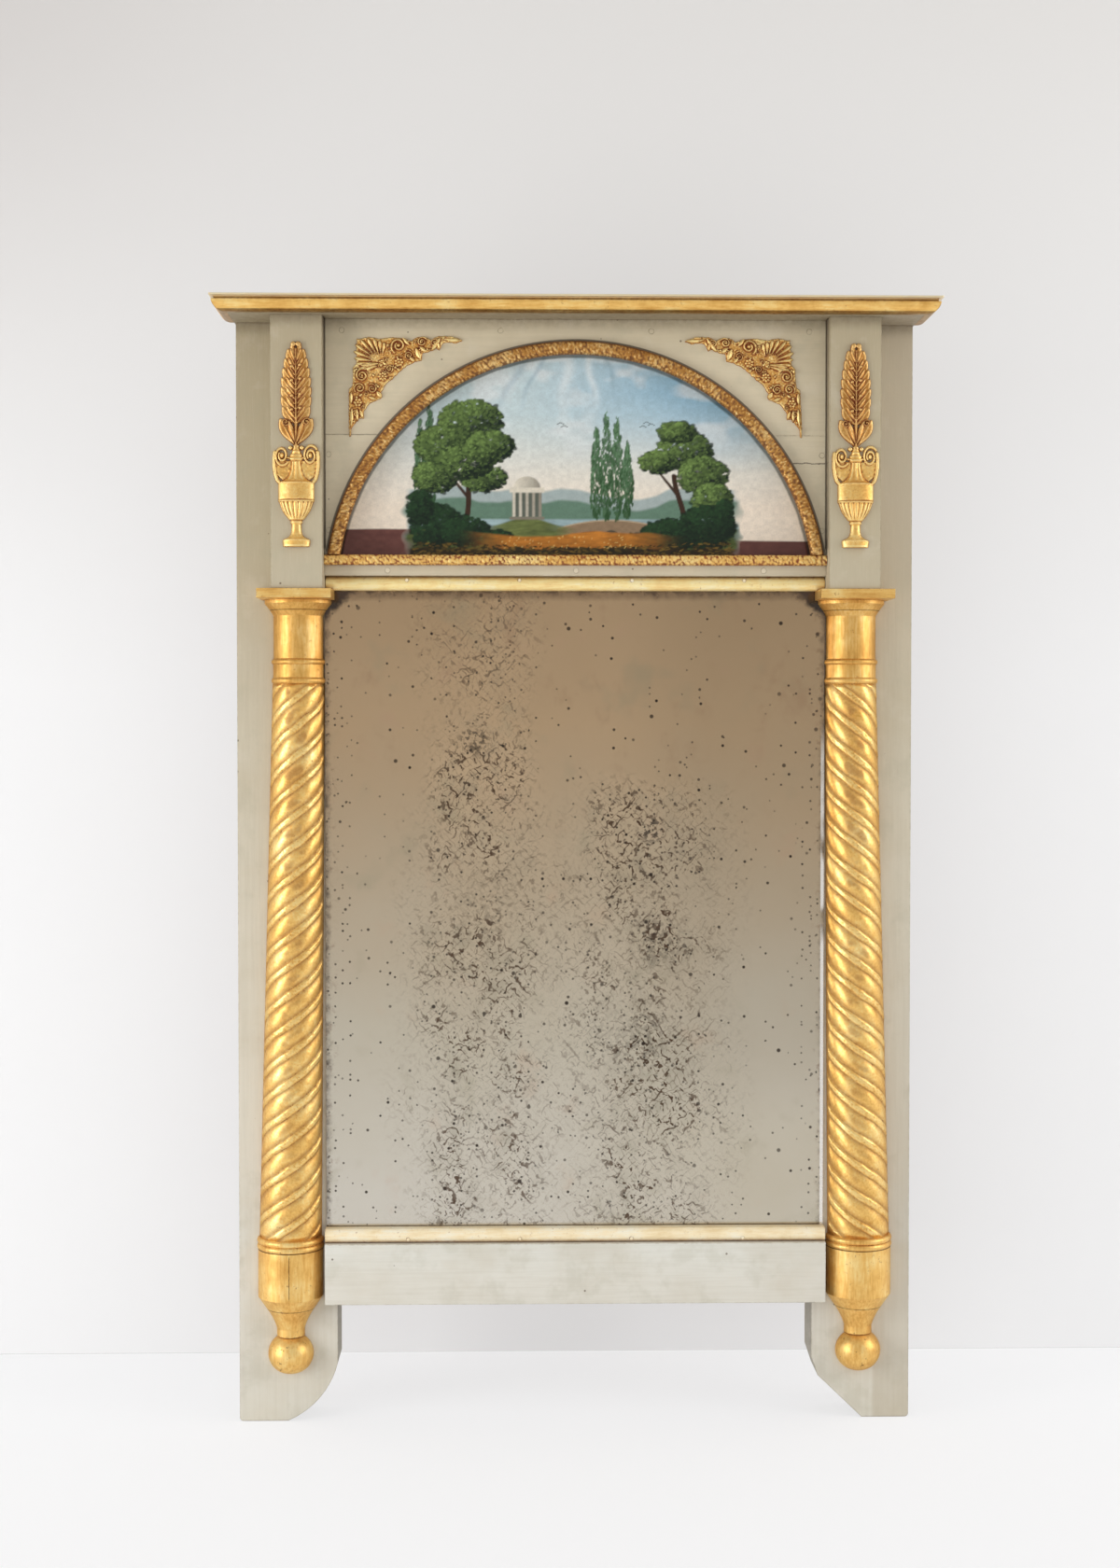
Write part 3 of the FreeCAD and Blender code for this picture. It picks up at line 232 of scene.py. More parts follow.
def bare_wood(name, along):
    f = Finish(name)
    _, rings, pores = wood_colour(f, along)
    # painted shade in the corners, dark brown
    f.lay(f.corner_shade(20) * 0.7, tone(52, 38, 26))
    return f.done({"Roughness": 0.78, "Normal": f.bump(pores, 0.25, f.bump(rings, 0.35, f.rounded(0.8)))})


PAINT_STEPS = ((0.0, 220, 216, 203), (0.13, 228, 225, 215), (0.17, 229, 229, 221), (0.24, 226, 221, 207),
               (0.55, 212, 204, 184), (0.8, 189, 177, 150), (1.0, 180, 167, 138))


def frieze_joints_and_shade(f, fine):
    """Painted shade in the gaps beside the blocks and in the dark line outside the arch, and the frieze's hairline
    joints.
    """
    wobble = (fine - 0.5) * 1.6
    off_blocks, in_front = f.y.ease(-30, -28), f.y.ease(-8, -12)
    inner, outer = (abs(abs(f.x) - edge + wobble * 0.3) for edge in BLOCK_EDGES)
    # painted shade in the gaps beside the blocks
    gap = inner.ease(1.3, 0.4).top(outer.ease(1.1, 0.3) * 0.7)
    gap = gap * off_blocks * f.z.ease(938, 942) * f.z.ease(CARCASS_TOP + 0.5, CARCASS_TOP)
    right = f.x > 0.0
    joint = abs(f.z - JOINT_Z + right * RIGHT_JOINT_DROP + wobble * (1 + right)).ease(0.9, 0.3)
    joint = joint * abs(f.x).ease(198, 216) * in_front * off_blocks * (0.4 + right * 0.5)
    # painted shadow just outside the arch moulding
    far = (f.x ** 2 + (f.z - ARCH_CENTRE_Z) ** 2) ** 0.5
    arch_edge_shadow = abs(far - ARCH_OUTSIDE + wobble * 0.25).ease(1.7, 0.7) * f.z.ease(ARCH_BASE_TOP, 940) * in_front * 0.9
    return gap.top(joint).top(arch_edge_shadow).held()


def grey_paint(name, along, painted_lift=0, worn=1.0):
    """Old grey-green distemper: brush marks along the board, painted shade in the corners and beside the blocks, bare
    edges and back.
    """
    f = Finish(name)
    wood = wood_colour(f, along)[0]
    shares = (0.04, 1, 1) if along == "x" else (1, 1, 0.04)
    brush, hair = f.grain(3.2, 3, 0.6, 0.2, shares), f.grain(0.9, 2, 0.5, 0.4, shares)
    cloud, fine, blotch = f.grain(95, 4, 0.6, 0.9), f.grain(7, 4, 0.65, 1.3), f.grain(38, 4, 0.6, 2.3)
    # darker towards the top: painted shade of the light falling off upwards; the lift raises every stop as painted
    # light
    f.colour = f.chart(f.z / 1200, [(place, tone(*(c + painted_lift for c in parts))) for place, *parts in PAINT_STEPS])
    f.lay(brush.ease(0.35, 0.7) * 0.11, tone(172, 162, 137))
    f.lay(hair.ease(0.5, 0.75) * 0.08, tone(232, 226, 210))
    f.lay(cloud.ease(0.42, 0.72) * 0.28, tone(190, 176, 146))
    f.lay(blotch.ease(0.52, 0.68) * 0.2, tone(176, 172, 148))
    f.lay(blotch.ease(0.45, 0.3) * 0.16, tone(226, 218, 202))
    # painted shade low on the right side board and painted light high on it
    right_post = f.x.ease(322, 326)
    f.lay(right_post * f.z.ease(560, 200) * 0.34, tone(178, 164, 138))
    f.lay(right_post * f.z.ease(760, 1000) * 0.3, tone(220, 206, 190))
    # painted shade on the sawn edges of the feet, the faces that turn away from the front
    facing = abs(f.split(f.out("ShaderNodeNewGeometry", output=1))[1])
    f.lay(facing.ease(0.7, 0.4) * f.z.ease(152, 136) * (0.3 + fine * 0.6), tone(110, 102, 84))
    f.lay(cloud.ease(0.3, 0.1) * 0.5, tone(222, 220, 208))
    # painted shade in the corners, dirt and painted shade under the cornice, painted shade beside the blocks and the
    # arch, open joints, fly specks, worn edges
    f.lay((f.corner_shade(6).ease(0.35, 0.95) * (0.3 + fine * 0.8)).held() * 0.8, tone(84, 66, 46))
    # dirt and painted shade in a band under the cornice
    f.lay((f.z.ease(1166, 1182) * f.y.ease(64, 60) * (0.25 + fine * 0.6)).held() * 0.75, tone(92, 76, 54))
    # painted shade beside the blocks and the arch, with the hairline joints
    f.lay(frieze_joints_and_shade(f, fine) * 0.85, tone(62, 48, 34))
    rare = f.split(f.spots(17, 0.6, 1))[0] > 0.82
    f.lay(f.spots(17, 0.6).ease(0.085, 0.05) * rare * 0.75, tone(96, 74, 52))
    rub = f.edge(1.8).ease(0.04, 0.2) * (fine.ease(0.42, 0.62) + f.z.ease(150, 60) * 0.6).held()
    f.lay(rub * 0.75 * worn, tone(140, 118, 86))
    f.lay(f.y.ease(63.6, 64.6), wood)
    normal = f.bump(brush, 0.14, f.bump(fine, 0.12, f.rounded(1.1) if worn else None))
    return f.done({"Roughness": 0.56 + fine * 0.22, "Normal": normal})


BOLE = tone(136, 66, 34)
WARM_GOLD = (tone(212, 154, 76), tone(242, 196, 114), tone(255, 228, 158))
BRIGHT_GOLD = (tone(216, 160, 78), tone(246, 200, 116), tone(255, 230, 160))
BROWN_GOLD = (tone(160, 104, 46), tone(202, 148, 76), tone(255, 224, 156))
SOFT_GOLD = (tone(196, 142, 68), tone(228, 180, 100), tone(246, 212, 142))
DARK_GOLD = (tone(152, 98, 44), tone(192, 138, 70), tone(238, 198, 130))
CORNER_GOLD = (tone(196, 134, 60), tone(232, 178, 98), tone(255, 236, 168))
# the two palest golds are the mirror mouldings' pale gold with a painted reflection of the bright room in it
YELLOW_GOLD_PAINTED_SHEEN = (tone(244, 204, 132), tone(255, 232, 164), tone(255, 246, 206))
CREAM_GOLD_PAINTED_SHEEN = (tone(240, 214, 164), tone(255, 238, 200), tone(255, 250, 230))


def drum_wear(f, fine):
    """The crack in the left drum and the chipped balls below both drums."""
    crack = abs(f.x - DRUM_CRACK_X + (fine - 0.5) * 1.6).ease(0.6, 0.2) * f.z.ease(139, 142) * f.z.ease(188, 184)
    chips = fine.ease(0.62, 0.68) * f.z.ease(104, 96)
    f.lay((crack * 0.85).top(chips * 0.7), tone(70, 44, 26))


def painted_top_highlight(f, fine):
    # painted highlight along the top fillet of the cornice strip
    f.lay(f.z.ease(1196.6, 1198.4) * (0.5 + fine * 0.5), tone(255, 246, 214))


def leaf_gold(name, along, tones=WARM_GOLD, metal=1.0, cast=None, under=BOLE, matt=0.0, shade_lines=(), wear_and_highlight=None):
    """Water gilding over red bole, burnished along an axis; shade_lines are the heights of dark quirks, painted shade
    in their grooves.

    Carved pieces carry a recess mark and say whether they are cast; turned and planed ones leave cast out.
    wear_and_highlight adds worn marks, and on the cornice a painted highlight.
    """
    f = Finish(name)
    shares = {"x": (0.12, 1, 1), "z": (1, 1, 0.12), "all": (1, 1, 1)}[along]
    burnish = f.grain(2.4, 3, 0.6, 0.1, shares)
    cloud, fine, dust = f.grain(34, 4, 0.6, 0.5), f.grain(4.5, 5, 0.7, 0.8), f.grain(1.1, 2, 0.5, 1.7)
    f.colour = f.chart(cloud * 0.6 + burnish * 0.4, list(zip((0.32, 0.5, 0.68), tones)))
    f.lay(fine.ease(0.5, 0.8) * 0.35, tones[0])
    worn = fine.ease(0.6, 0.74) * cloud.ease(0.4, 0.62) * 0.7
    worn = worn + f.edge(1.6).ease(0.05, 0.25) * fine.ease(0.42, 0.6) * 0.8
    worn = worn + dust.ease(0.68, 0.78) * 0.5
    if cast is None:
        # painted shade in the corners joins the worn marks and is laid as bole
        worn = worn + f.corner_shade(6).ease(0.3, 0.95) * (0.3 + fine) * 0.9
    else:
        deep = f.out("ShaderNodeAttribute", {"attribute_name": "recess"}, output=2)
        # painted highlight: the crests of the relief are paler
        f.lay(deep.ease(0.24, 0.02) * (0.75 if cast else 0.5), tones[2])
        # bole in the hollows, and on the shafts and the arch the painted shade and dark reflection that the mark
        # carries
        worn = worn + deep.ease(0.3, 0.85) * (0.6 + fine * 0.7) * (0.95 if cast else 0.6)
    worn = worn.held()
    # worn marks and the painted shade, laid as bole
    f.lay(worn, under)
    # dark quirks: painted shade in their grooves
    for level, half in shade_lines:
        f.lay((abs(f.z - level).ease(half, half * 0.5) * (0.4 + fine * 0.9)).held() * 0.8, tone(92, 56, 28))
    if wear_and_highlight:
        wear_and_highlight(f, fine)
    rough = 0.3 + matt + fine * 0.16 + worn * 0.3 + (0.1 if cast else 0.0)
    normal = f.bump(burnish * 0.5 + fine * 0.5, 0.24 if cast else 0.16, f.rounded(0.9) if cast is None else None)
    normal = f.bump(f.grain(14, 2, 0.5, 2.2), 0.5, normal)
    return f.done({"Roughness": rough, "Metallic": (1 - worn * 0.75) * metal, "Normal": normal})


def plate_drifts(f):
    """Two upright drifts where the plate's cracks gather, its knots, and the densest of these."""
    wander = (f.grain(120, 2, 0.5, 0.8, (1, 1, 0.6)) - 0.5) * 90
    left = (1 - (abs(f.x + 104 + wander) / 62).ease(0.45, 1.35)) * (1 - f.z.ease(700, 760) * 0.45)
    right = (1 - (abs(f.x - 76 + wander) / 84).ease(0.4, 1.25)) * f.z.ease(712, 668)
    between = (1 - (abs(f.x + 5 + wander) / 210).ease(0.6, 1.0)) * f.z.ease(700, 640) * 0.34
    patch = f.grain(48, 3, 0.6, 0.15, (1, 1, 0.8)).ease(0.36, 0.58)
    drift = (left.top(right).top(between) * (0.3 + 0.7 * patch)).held()
    near = [1 - (((f.x - x) ** 2 + (f.z - z) ** 2) ** 0.5).ease(reach * 0.3, reach) for x, z, reach in (
        (82, 641, 20), (-109, 736, 24), (60, 420, 60), (-95, 560, 50), (86, 520, 44))]
    dense = near[0].top(near[1] * 0.8)
    return drift, dense.top(near[2]).top(near[3]).top(near[4]), dense


def old_silvering():
    """Tin-mercury plate: brown foxing, pin holes and short broken cracks in two upright drifts."""
    f = Finish("old_silvering")
    # slow change of tone, warm above and pale below: the silvering's tint with a painted reflection of the room in it
    cloud, tint = f.grain(150, 3, 0.5, 0.35), f.grain(70, 3, 0.6, 2.9)
    height = (f.z - PLATE_FOOT) / PLATE_HEIGHT + (cloud - 0.5) * 0.26 + f.x.ease(-60, 220) * f.z.ease(420, 240) * 0.2
    f.colour = f.chart(height, [(0.0, tone(208, 202, 190)), (0.3, tone(196, 187, 168)), (0.55, tone(188, 170, 143)),
                                (0.8, tone(196, 168, 133)), (1.0, tone(186, 157, 122))])
    f.lay(tint.ease(0.55, 0.75) * 0.35, tone(156, 150, 124))
    f.lay(tint.ease(0.42, 0.25) * 0.3, tone(196, 160, 132))
    f.lay(f.x.ease(20, 150) * f.z.ease(300, 420) * 0.22, tone(136, 118, 92))
    drift, knots, dense = plate_drifts(f)
    # short crossing cracks, thick ones over a finer net
    bent = f.grain(26, 3, 0.6, 1.9)
    for number, (slant, size, thick, gap, depth) in enumerate((
            (0.8, 12.0, 0.15, 0.515, 1.0), (-0.85, 13.0, 0.13, 0.52, 0.95), (0.25, 16.0, 0.1, 0.54, 0.8),
            (0.9, 7.0, 0.12, 0.46, 0.45), (-0.8, 7.6, 0.12, 0.46, 0.45))):
        crest = abs(((f.x * slant + f.z * 0.8) / size + bent * 3.4).part() - 0.5)
        broken = f.grain(size * 0.68, 2, 0.5, 3.1 + number)
        f.lay(drift * crest.ease(thick, thick * 0.45) * broken.ease(gap, gap + 0.06) * depth, tone(82, 60, 42))
    f.lay(drift * f.grain(22, 4, 0.65, 2.4).ease(0.42, 0.75) * 0.34, tone(128, 122, 104))
    f.lay(dense.top(knots * drift * 0.45) * f.grain(5.5, 3, 0.6, 9.3).ease(0.48, 0.55) * 0.85, tone(52, 42, 34))
    # brown and black specks of several sizes
    flank = abs(f.x).ease(228, 250)
    for size, shift, rare, gain, big, depth in (
            (8.0, 0.21, 0.97, 0.24, 0.2, 0.95), (24.0, 0.63, 0.8, 0.3, 0.085, 1.0),
            (5.0, 0.94, 0.987, 0.1, 0.26, 0.8), (46.0, 0.37, 0.82, 0.25, 0.06, 1.0)):
        chance = f.split(f.spots(size, shift, 1, True))
        here = chance[0] > (rare - drift * gain * (1 + knots) - flank * gain * 0.6)
        dot = f.spots(size, shift, 0, True).ease(big, big * 0.5) * here * (0.55 + chance[1] * 0.45)
        f.lay(dot * depth, tone(46, 34, 24))
    # pinkish foxing clouds high up, brown ones along the sides
    f.lay(f.grain(48, 4, 0.7, 4.4, (1, 1, 0.7)).ease(0.55, 0.72) * f.z.ease(560, 760) * 0.25, tone(150, 112, 86))
    f.lay((abs(f.x) - 252).ease(0, 12) * f.grain(9, 4, 0.7, 8.1).ease(0.55, 0.66) * 0.35, tone(122, 88, 62))
    # dark border: top corners, top edge and a thin line along the foot; bare glass up the right edge
    ragged = (f.grain(11, 4, 0.7, 5.2) - 0.5) * 24
    corner = (abs(f.x) - 236).top(0) + (f.z - 866).top(0) * 1.1 + ragged
    f.lay(corner.ease(26, 40) * 0.95, tone(34, 24, 19))
    rim = ((f.z - 881 + ragged * 0.3).ease(4, 11) * 0.4).top((abs(f.x) - 259 + ragged * 0.2).ease(2, 9) * 0.2)
    f.lay(rim, tone(92, 66, 48))
    f.lay((PLATE_FOOT + 1.8 - f.z + ragged * 0.04).ease(0.0, 1.2) * 0.7, tone(70, 52, 36))
    bare = f.z.ease(760, 700) * f.grain(30, 2, 0.5, 6.6, (1, 1, 0.4)).ease(0.38, 0.5)
    f.lay((f.x - 264.6).ease(0.0, 0.8) * bare, tone(236, 232, 226))
    dull = (drift * 0.35 + corner.ease(24, 42)).held()
    return f.done({"Metallic": 0.92 - dull * 0.5, "Roughness": 0.16 + drift * 0.14, "Coat Weight": 0.25,
                   "Coat Roughness": 0.03, "Normal": f.bump(f.grain(210, 1, 0.4, 7.0), 0.25)})


def painted_glass():
    f = Finish("painted_glass")
    f.colour = f.out("ShaderNodeVertexColor", {"layer_name": "picture"})
    f.lay(f.grain(1.8, 3, 0.6, 0.5).ease(0.3, 0.8) * 0.12, tone(60, 52, 44))
    return f.done({"Roughness": 0.5, "Specular IOR Level": 0.0, "Normal": f.bump(f.grain(60, 1, 0.4, 0.3), 0.12),
                   "Coat Weight": 0.5, "Coat Roughness": 0.02, "Coat IOR": 1.5})


def old_iron():
    f = Finish("old_iron")
    cloud, fine = f.grain(9, 4, 0.6, 0.2), f.grain(1.6, 3, 0.6, 0.6)
    f.colour = f.chart(cloud, [(0.3, tone(62, 56, 52)), (0.65, tone(120, 114, 108))])
    rust = fine.ease(0.5, 0.72) * cloud.ease(0.35, 0.6)
    f.lay(rust * 0.8, tone(96, 52, 30))
    return f.done({"Metallic": 0.95 - rust * 0.7, "Roughness": 0.4 + rust * 0.35,
                   "Normal": f.bump(fine, 0.15, f.rounded(0.4))})


PAINT_UPRIGHT = grey_paint("paint_upright", "z")
PAINT_LEVEL = grey_paint("paint_level", "x")
# paint_frieze, paint_filled and paint_sill are lighter copies of the same paint: painted light on the frieze, its
# nails and the sill
PAINT_FRIEZE = grey_paint("paint_frieze", "x", 34)
PAINT_FILLED = grey_paint("paint_filled", "x", 34, 0.0)
PAINT_SILL = grey_paint("paint_sill", "x", 14)
WOOD_LEVEL = bare_wood("bare_wood_level", "x")
WOOD_UPRIGHT = bare_wood("bare_wood_upright", "z")
# heights of the dark quirks on the turned gilding and on the cornice strip: painted shade in the grooves, under the
# strip's top fillet and along its foot
QUIRKS = ((887.3, 0.8), (876.0, 0.6), (189.0, 0.5), (124.2, 0.55))
CORNICE_LINES = ((1196.0, 1.3), (1184.0, 1.7))
GOLD_TURNED = leaf_gold("gold_turned", "z", metal=0.9, matt=0.05, shade_lines=QUIRKS, wear_and_highlight=drum_wear)
GOLD_CAPITAL = leaf_gold("gold_capital", "z", SOFT_GOLD, 0.9, matt=0.1, shade_lines=QUIRKS)
GOLD_STRIP = leaf_gold("gold_strip", "x", metal=0.85, matt=0.06)
GOLD_CORNICE = leaf_gold("gold_cornice", "x", BRIGHT_GOLD, 0.85, shade_lines=CORNICE_LINES, wear_and_highlight=painted_top_highlight)
# nearly matt pale gold on the mirror mouldings: their own gold with a painted reflection of the bright room
GOLD_MOULDED_PAINTED_SHEEN = leaf_gold("gold_moulded", "x", YELLOW_GOLD_PAINTED_SHEEN, 0.4)
GOLD_PALE_PAINTED_SHEEN = leaf_gold("gold_pale", "x", CREAM_GOLD_PAINTED_SHEEN, 0.1)
GOLD_SPIRAL = leaf_gold("gold_spiral", "all", BRIGHT_GOLD, 0.9, False, tone(150, 98, 46))
GOLD_URN = leaf_gold("gold_urn", "all", WARM_GOLD, 0.9, True)
GOLD_SPRAY = leaf_gold("gold_spray", "all", DARK_GOLD, 0.85, True)
GOLD_CORNER = leaf_gold("gold_corner", "all", CORNER_GOLD, 0.85, True)
GOLD_GRANULAR = leaf_gold("gold_granular", "all", BROWN_GOLD, 0.8, True, tone(118, 72, 36))
GOLD_BASE = leaf_gold("gold_base", "all", BRIGHT_GOLD, 0.7, True)
SILVERING = old_silvering()
PICTURE = painted_glass()
IRON = old_iron()

PAIRED = ((PAINT_UPRIGHT, "post"), (PAINT_UPRIGHT, "pilaster_block"), (GOLD_STRIP, "abacus"),
          (GOLD_CAPITAL, "capital"), (GOLD_TURNED, "drum"), (GOLD_TURNED, "finial"), (IRON, "hanger_plate"))
for finish, names in (
    *((finish, f"left_{part} right_{part}") for finish, part in PAIRED),
    (PAINT_FRIEZE, "frieze_top_board frieze_left_cheek frieze_right_cheek"),
    (PAINT_FILLED, "frieze_nails"),
    (PAINT_SILL, "frieze_sill"),
    (PAINT_LEVEL, "bottom_apron cornice_board"),
    (GOLD_CORNICE, "cornice_front_left cornice_front_right cornice_left_return cornice_right_return"),
    (GOLD_MOULDED_PAINTED_SHEEN, "mirror_top_moulding"),
    (GOLD_PALE_PAINTED_SHEEN, "mirror_bottom_moulding retaining_pins"),
    (WOOD_LEVEL, "top_rail middle_rail lower_rail lower_backboard centre_backboard upper_backboard lunette_backing"),
    (WOOD_LEVEL, "glue_blocks lunette_cleats"),
    (WOOD_UPRIGHT, "frame_pegs"),
    (SILVERING, "mirror_plate"),
    (IRON, "block_screws column_screws apron_screws hanger_screws"),
):
    for name in names.split():
        for place in NODES[name].material_slots:
            place.material = finish


# ---------------------------------------------------------------- pieces
def put_in(piece, material_slot, *nodes):
    """Hang a finished piece on the frame in place of its plain nodes."""
    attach(piece, "root")
    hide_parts(*nodes)
    return piece


def fade(depth, soft=1.0):
    """0 outside, 1 inside, over a border of the given width."""
    return np.clip(depth / soft, 0, 1)


def piece_from(name, corners, faces, finish, label, values):
    """Mesh piece from corners in (x, depth, z) millimetres, with one mark or colour on each corner."""
    corners = np.asarray(corners, float)
    places = np.column_stack([corners[:, 0], BACK_Y - corners[:, 1], corners[:, 2]]) / 1000
    mesh = bpy.data.meshes.new(name)
    mesh.from_pydata(places.tolist(), [], faces)
    mesh.materials.append(finish)
    mesh.shade_smooth()
    values = np.asarray(values, np.float32)
    if values.ndim == 1:
        mesh.attributes.new(label, "FLOAT", "POINT").data.foreach_set("value", values)
    else:
        mesh.color_attributes.new(label, "FLOAT_COLOR", "POINT").data.foreach_set("color", values.ravel())
    mesh.update()
    piece = bpy.data.objects.new(name, mesh)
    bpy.context.scene.collection.objects.link(piece)
    return piece


# how far a relief runs out below its ground, and how much deeper its flat back lies
SINK = 0.5
BURY = 0.6


def on_flat(name, x0, x1, z0, z1, height, face, finish):
    """Closed piece that stands off a flat face: height(x, z) is its rise in millimetres, negative where it ends."""
    x, z = np.meshgrid(np.arange(x0, x1 + RELIEF_STEP, RELIEF_STEP), np.arange(z0, z1 + RELIEF_STEP, RELIEF_STEP))
    rise = np.maximum(height(x, z), -SINK)
    solid = rise > -SINK
    kept = solid[:-1, :-1] | solid[1:, :-1] | solid[:-1, 1:] | solid[1:, 1:]
    kept[[0, -1], :] = False
    kept[:, [0, -1]] = False
    number = np.arange(rise.size).reshape(rise.shape)
    a, b, c, d = number[:-1, :-1], number[:-1, 1:], number[1:, 1:], number[1:, :-1]
    front = np.stack([a[kept], b[kept], c[kept], d[kept]], 1)
    faces = [front, front[:, ::-1] + rise.size]
    for (p, q), (dr, dc) in (((a, b), (-1, 0)), ((b, c), (0, 1)), ((c, d), (1, 0)), ((d, a), (0, -1))):
        beside = np.zeros_like(kept)
        beside[1:-1, 1:-1] = kept[1 + dr:kept.shape[0] - 1 + dr, 1 + dc:kept.shape[1] - 1 + dc]
        rim = kept & ~beside
        faces.append(np.stack([q[rim], p[rim], p[rim] + rise.size, q[rim] + rise.size], 1))
    used, faces = np.unique(np.concatenate(faces), return_inverse=True)
    corners = np.concatenate([
        np.stack([x.ravel(), (face + rise).ravel(), z.ravel()], 1),
        np.stack([x.ravel(), np.full(x.size, face - SINK - BURY), z.ravel()], 1),
    ])
    recess = np.tile(recess_of(rise).ravel(), 2)
    return piece_from(name, corners[used], faces.reshape(-1, 4).tolist(), finish, "recess", recess[used])


def softened(field, times):
    """Field averaged with its neighbours, times over."""
    for _ in range(times):
        padded = np.pad(field, 1, mode="edge")
        field = (padded[:-2, 1:-1] + padded[2:, 1:-1] + padded[1:-1, :-2] + padded[1:-1, 2:] + 2 * field) / 6
    return field


def recess_of(rise):
    """How deep a spot lies under its surroundings, from 0 to 1, and deepest round the foot of a relief."""
    hollow = (softened(rise, 14) - rise) / 1.1 + 0.28
    return fade(np.maximum(hollow, fade(1.1 - rise / 1.3)))


def cloudy(x, z, size, seed):
    """Seeded cloudy field from 0 to 1."""
    table = np.random.default_rng(seed).random((64, 64))
    u, v = x / size + 200, z / size + 200
    i, j = np.floor(u).astype(int), np.floor(v).astype(int)
    s, t = u - i, v - j
    s, t = s * s * (3 - 2 * s), t * t * (3 - 2 * t)
    pick = lambda p, q: table[p % 64, q % 64]
    low = pick(i, j) * (1 - s) + pick(i + 1, j) * s
    high = pick(i, j + 1) * (1 - s) + pick(i + 1, j + 1) * s
    return low * (1 - t) + high * t


def leaf(x, z, root, tip, width, rise, belly=0.45, vein=0.7):
    """Pointed leaf from root to tip with a raised vein."""
    dx, dz = tip[0] - root[0], tip[1] - root[1]
    length = math.hypot(dx, dz)
    along = ((x - root[0]) * dx + (z - root[1]) * dz) / length ** 2
    across = ((z - root[1]) * dx - (x - root[0]) * dz) / length
    share = fade(along)
    half = width / 2 * np.sin(math.pi * share ** (math.log(0.5) / math.log(belly))) ** 0.8 + 1e-4
    inside = 1 - np.abs(across) / half
    edge = np.clip(inside * half / 0.55, -1, 1)
    form = rise * (0.55 + 0.45 * np.sqrt(fade(inside)) - 0.12 * share)
    form = form + vein * np.exp(-(across / 0.55) ** 2) * (1 - share)
    return np.where((along > 0) & (along < 1), np.where(edge > 0, form * fade(edge), edge), -1.0)


def scroll(x, z, centre, radius, width, rise, turns, start, hand, tight=0.17, squeeze=1.0, groove=0.0):
    """Volute: a round band that winds in to a boss; tight is how fast it winds, squeeze how narrow it is."""
    dx, dz = (x - centre[0]) * squeeze, z - centre[1]
    far = np.hypot(dx, dz)
    angle = (hand * np.arctan2(dz, dx) - start) % (2 * math.pi)
    best = np.full(x.shape, 99.0)
    for turn in range(int(math.ceil(turns))):
        wound = angle + 2 * math.pi * turn
        path = radius * np.exp(-tight * wound)
        best = np.minimum(best, np.where(wound < 2 * math.pi * turns, np.abs(far - path), 99.0))
    inside = 1 - best / (width / 2)
    band = rise * np.sqrt(fade(inside)) - groove * np.exp(-(best / (0.2 * width)) ** 2)
    band = np.where(inside > 0, band, np.clip(inside, -1, 0))
    eye = radius * np.exp(-tight * 2 * math.pi * turns) * 0.75
    boss = (rise + 0.4) * np.sqrt(fade(1 - (far / eye) ** 2)) - 0.01
    return np.maximum(band, np.where(far < eye, boss, -1))


def bead(x, z, centre, radius, rise):
    near = np.clip(1 - ((x - centre[0]) ** 2 + (z - centre[1]) ** 2) / radius ** 2, -1, 1)
    return np.where(near > 0, rise - radius * 0.6 + radius * 0.6 * np.sqrt(np.abs(near)), -1.0)


def bar(x, z, points, width, rise, groove=0.0):
    """Rounded strap through a chain of points."""
    best = np.full(x.shape, 99.0)
    for (x0, z0), (x1, z1) in zip(points, points[1:]):
        dx, dz = x1 - x0, z1 - z0
        share = fade(((x - x0) * dx + (z - z0) * dz) / (dx * dx + dz * dz))
        best = np.minimum(best, np.hypot(x - x0 - share * dx, z - z0 - share * dz))
    inside = 1 - best / (width / 2)
    strap = rise * np.sqrt(fade(inside)) - groove * np.exp(-(best / (0.2 * width)) ** 2)
    return np.where(inside > 0, strap, np.clip(inside, -1, 0))


def rosette(x, z, centre, radius, petals, rise):
    far = np.hypot(x - centre[0], z - centre[1])
    angle = np.arctan2(z - centre[1], x - centre[0])
    rim = radius * (0.86 + 0.14 * np.abs(np.cos(angle * petals / 2)))
    inside = 1 - far / rim
    form = rise * (0.5 + 0.5 * np.abs(np.cos(angle * petals / 2)) * fade(far / rim)) * fade(inside * 4)
    boss = rise * 1.1 * np.sqrt(fade(1 - (far / (0.32 * radius)) ** 2))
    return np.where(inside > 0, np.maximum(form, boss), np.clip(inside * 4, -1, 0))


SPRAY_FOOT = 1046.5


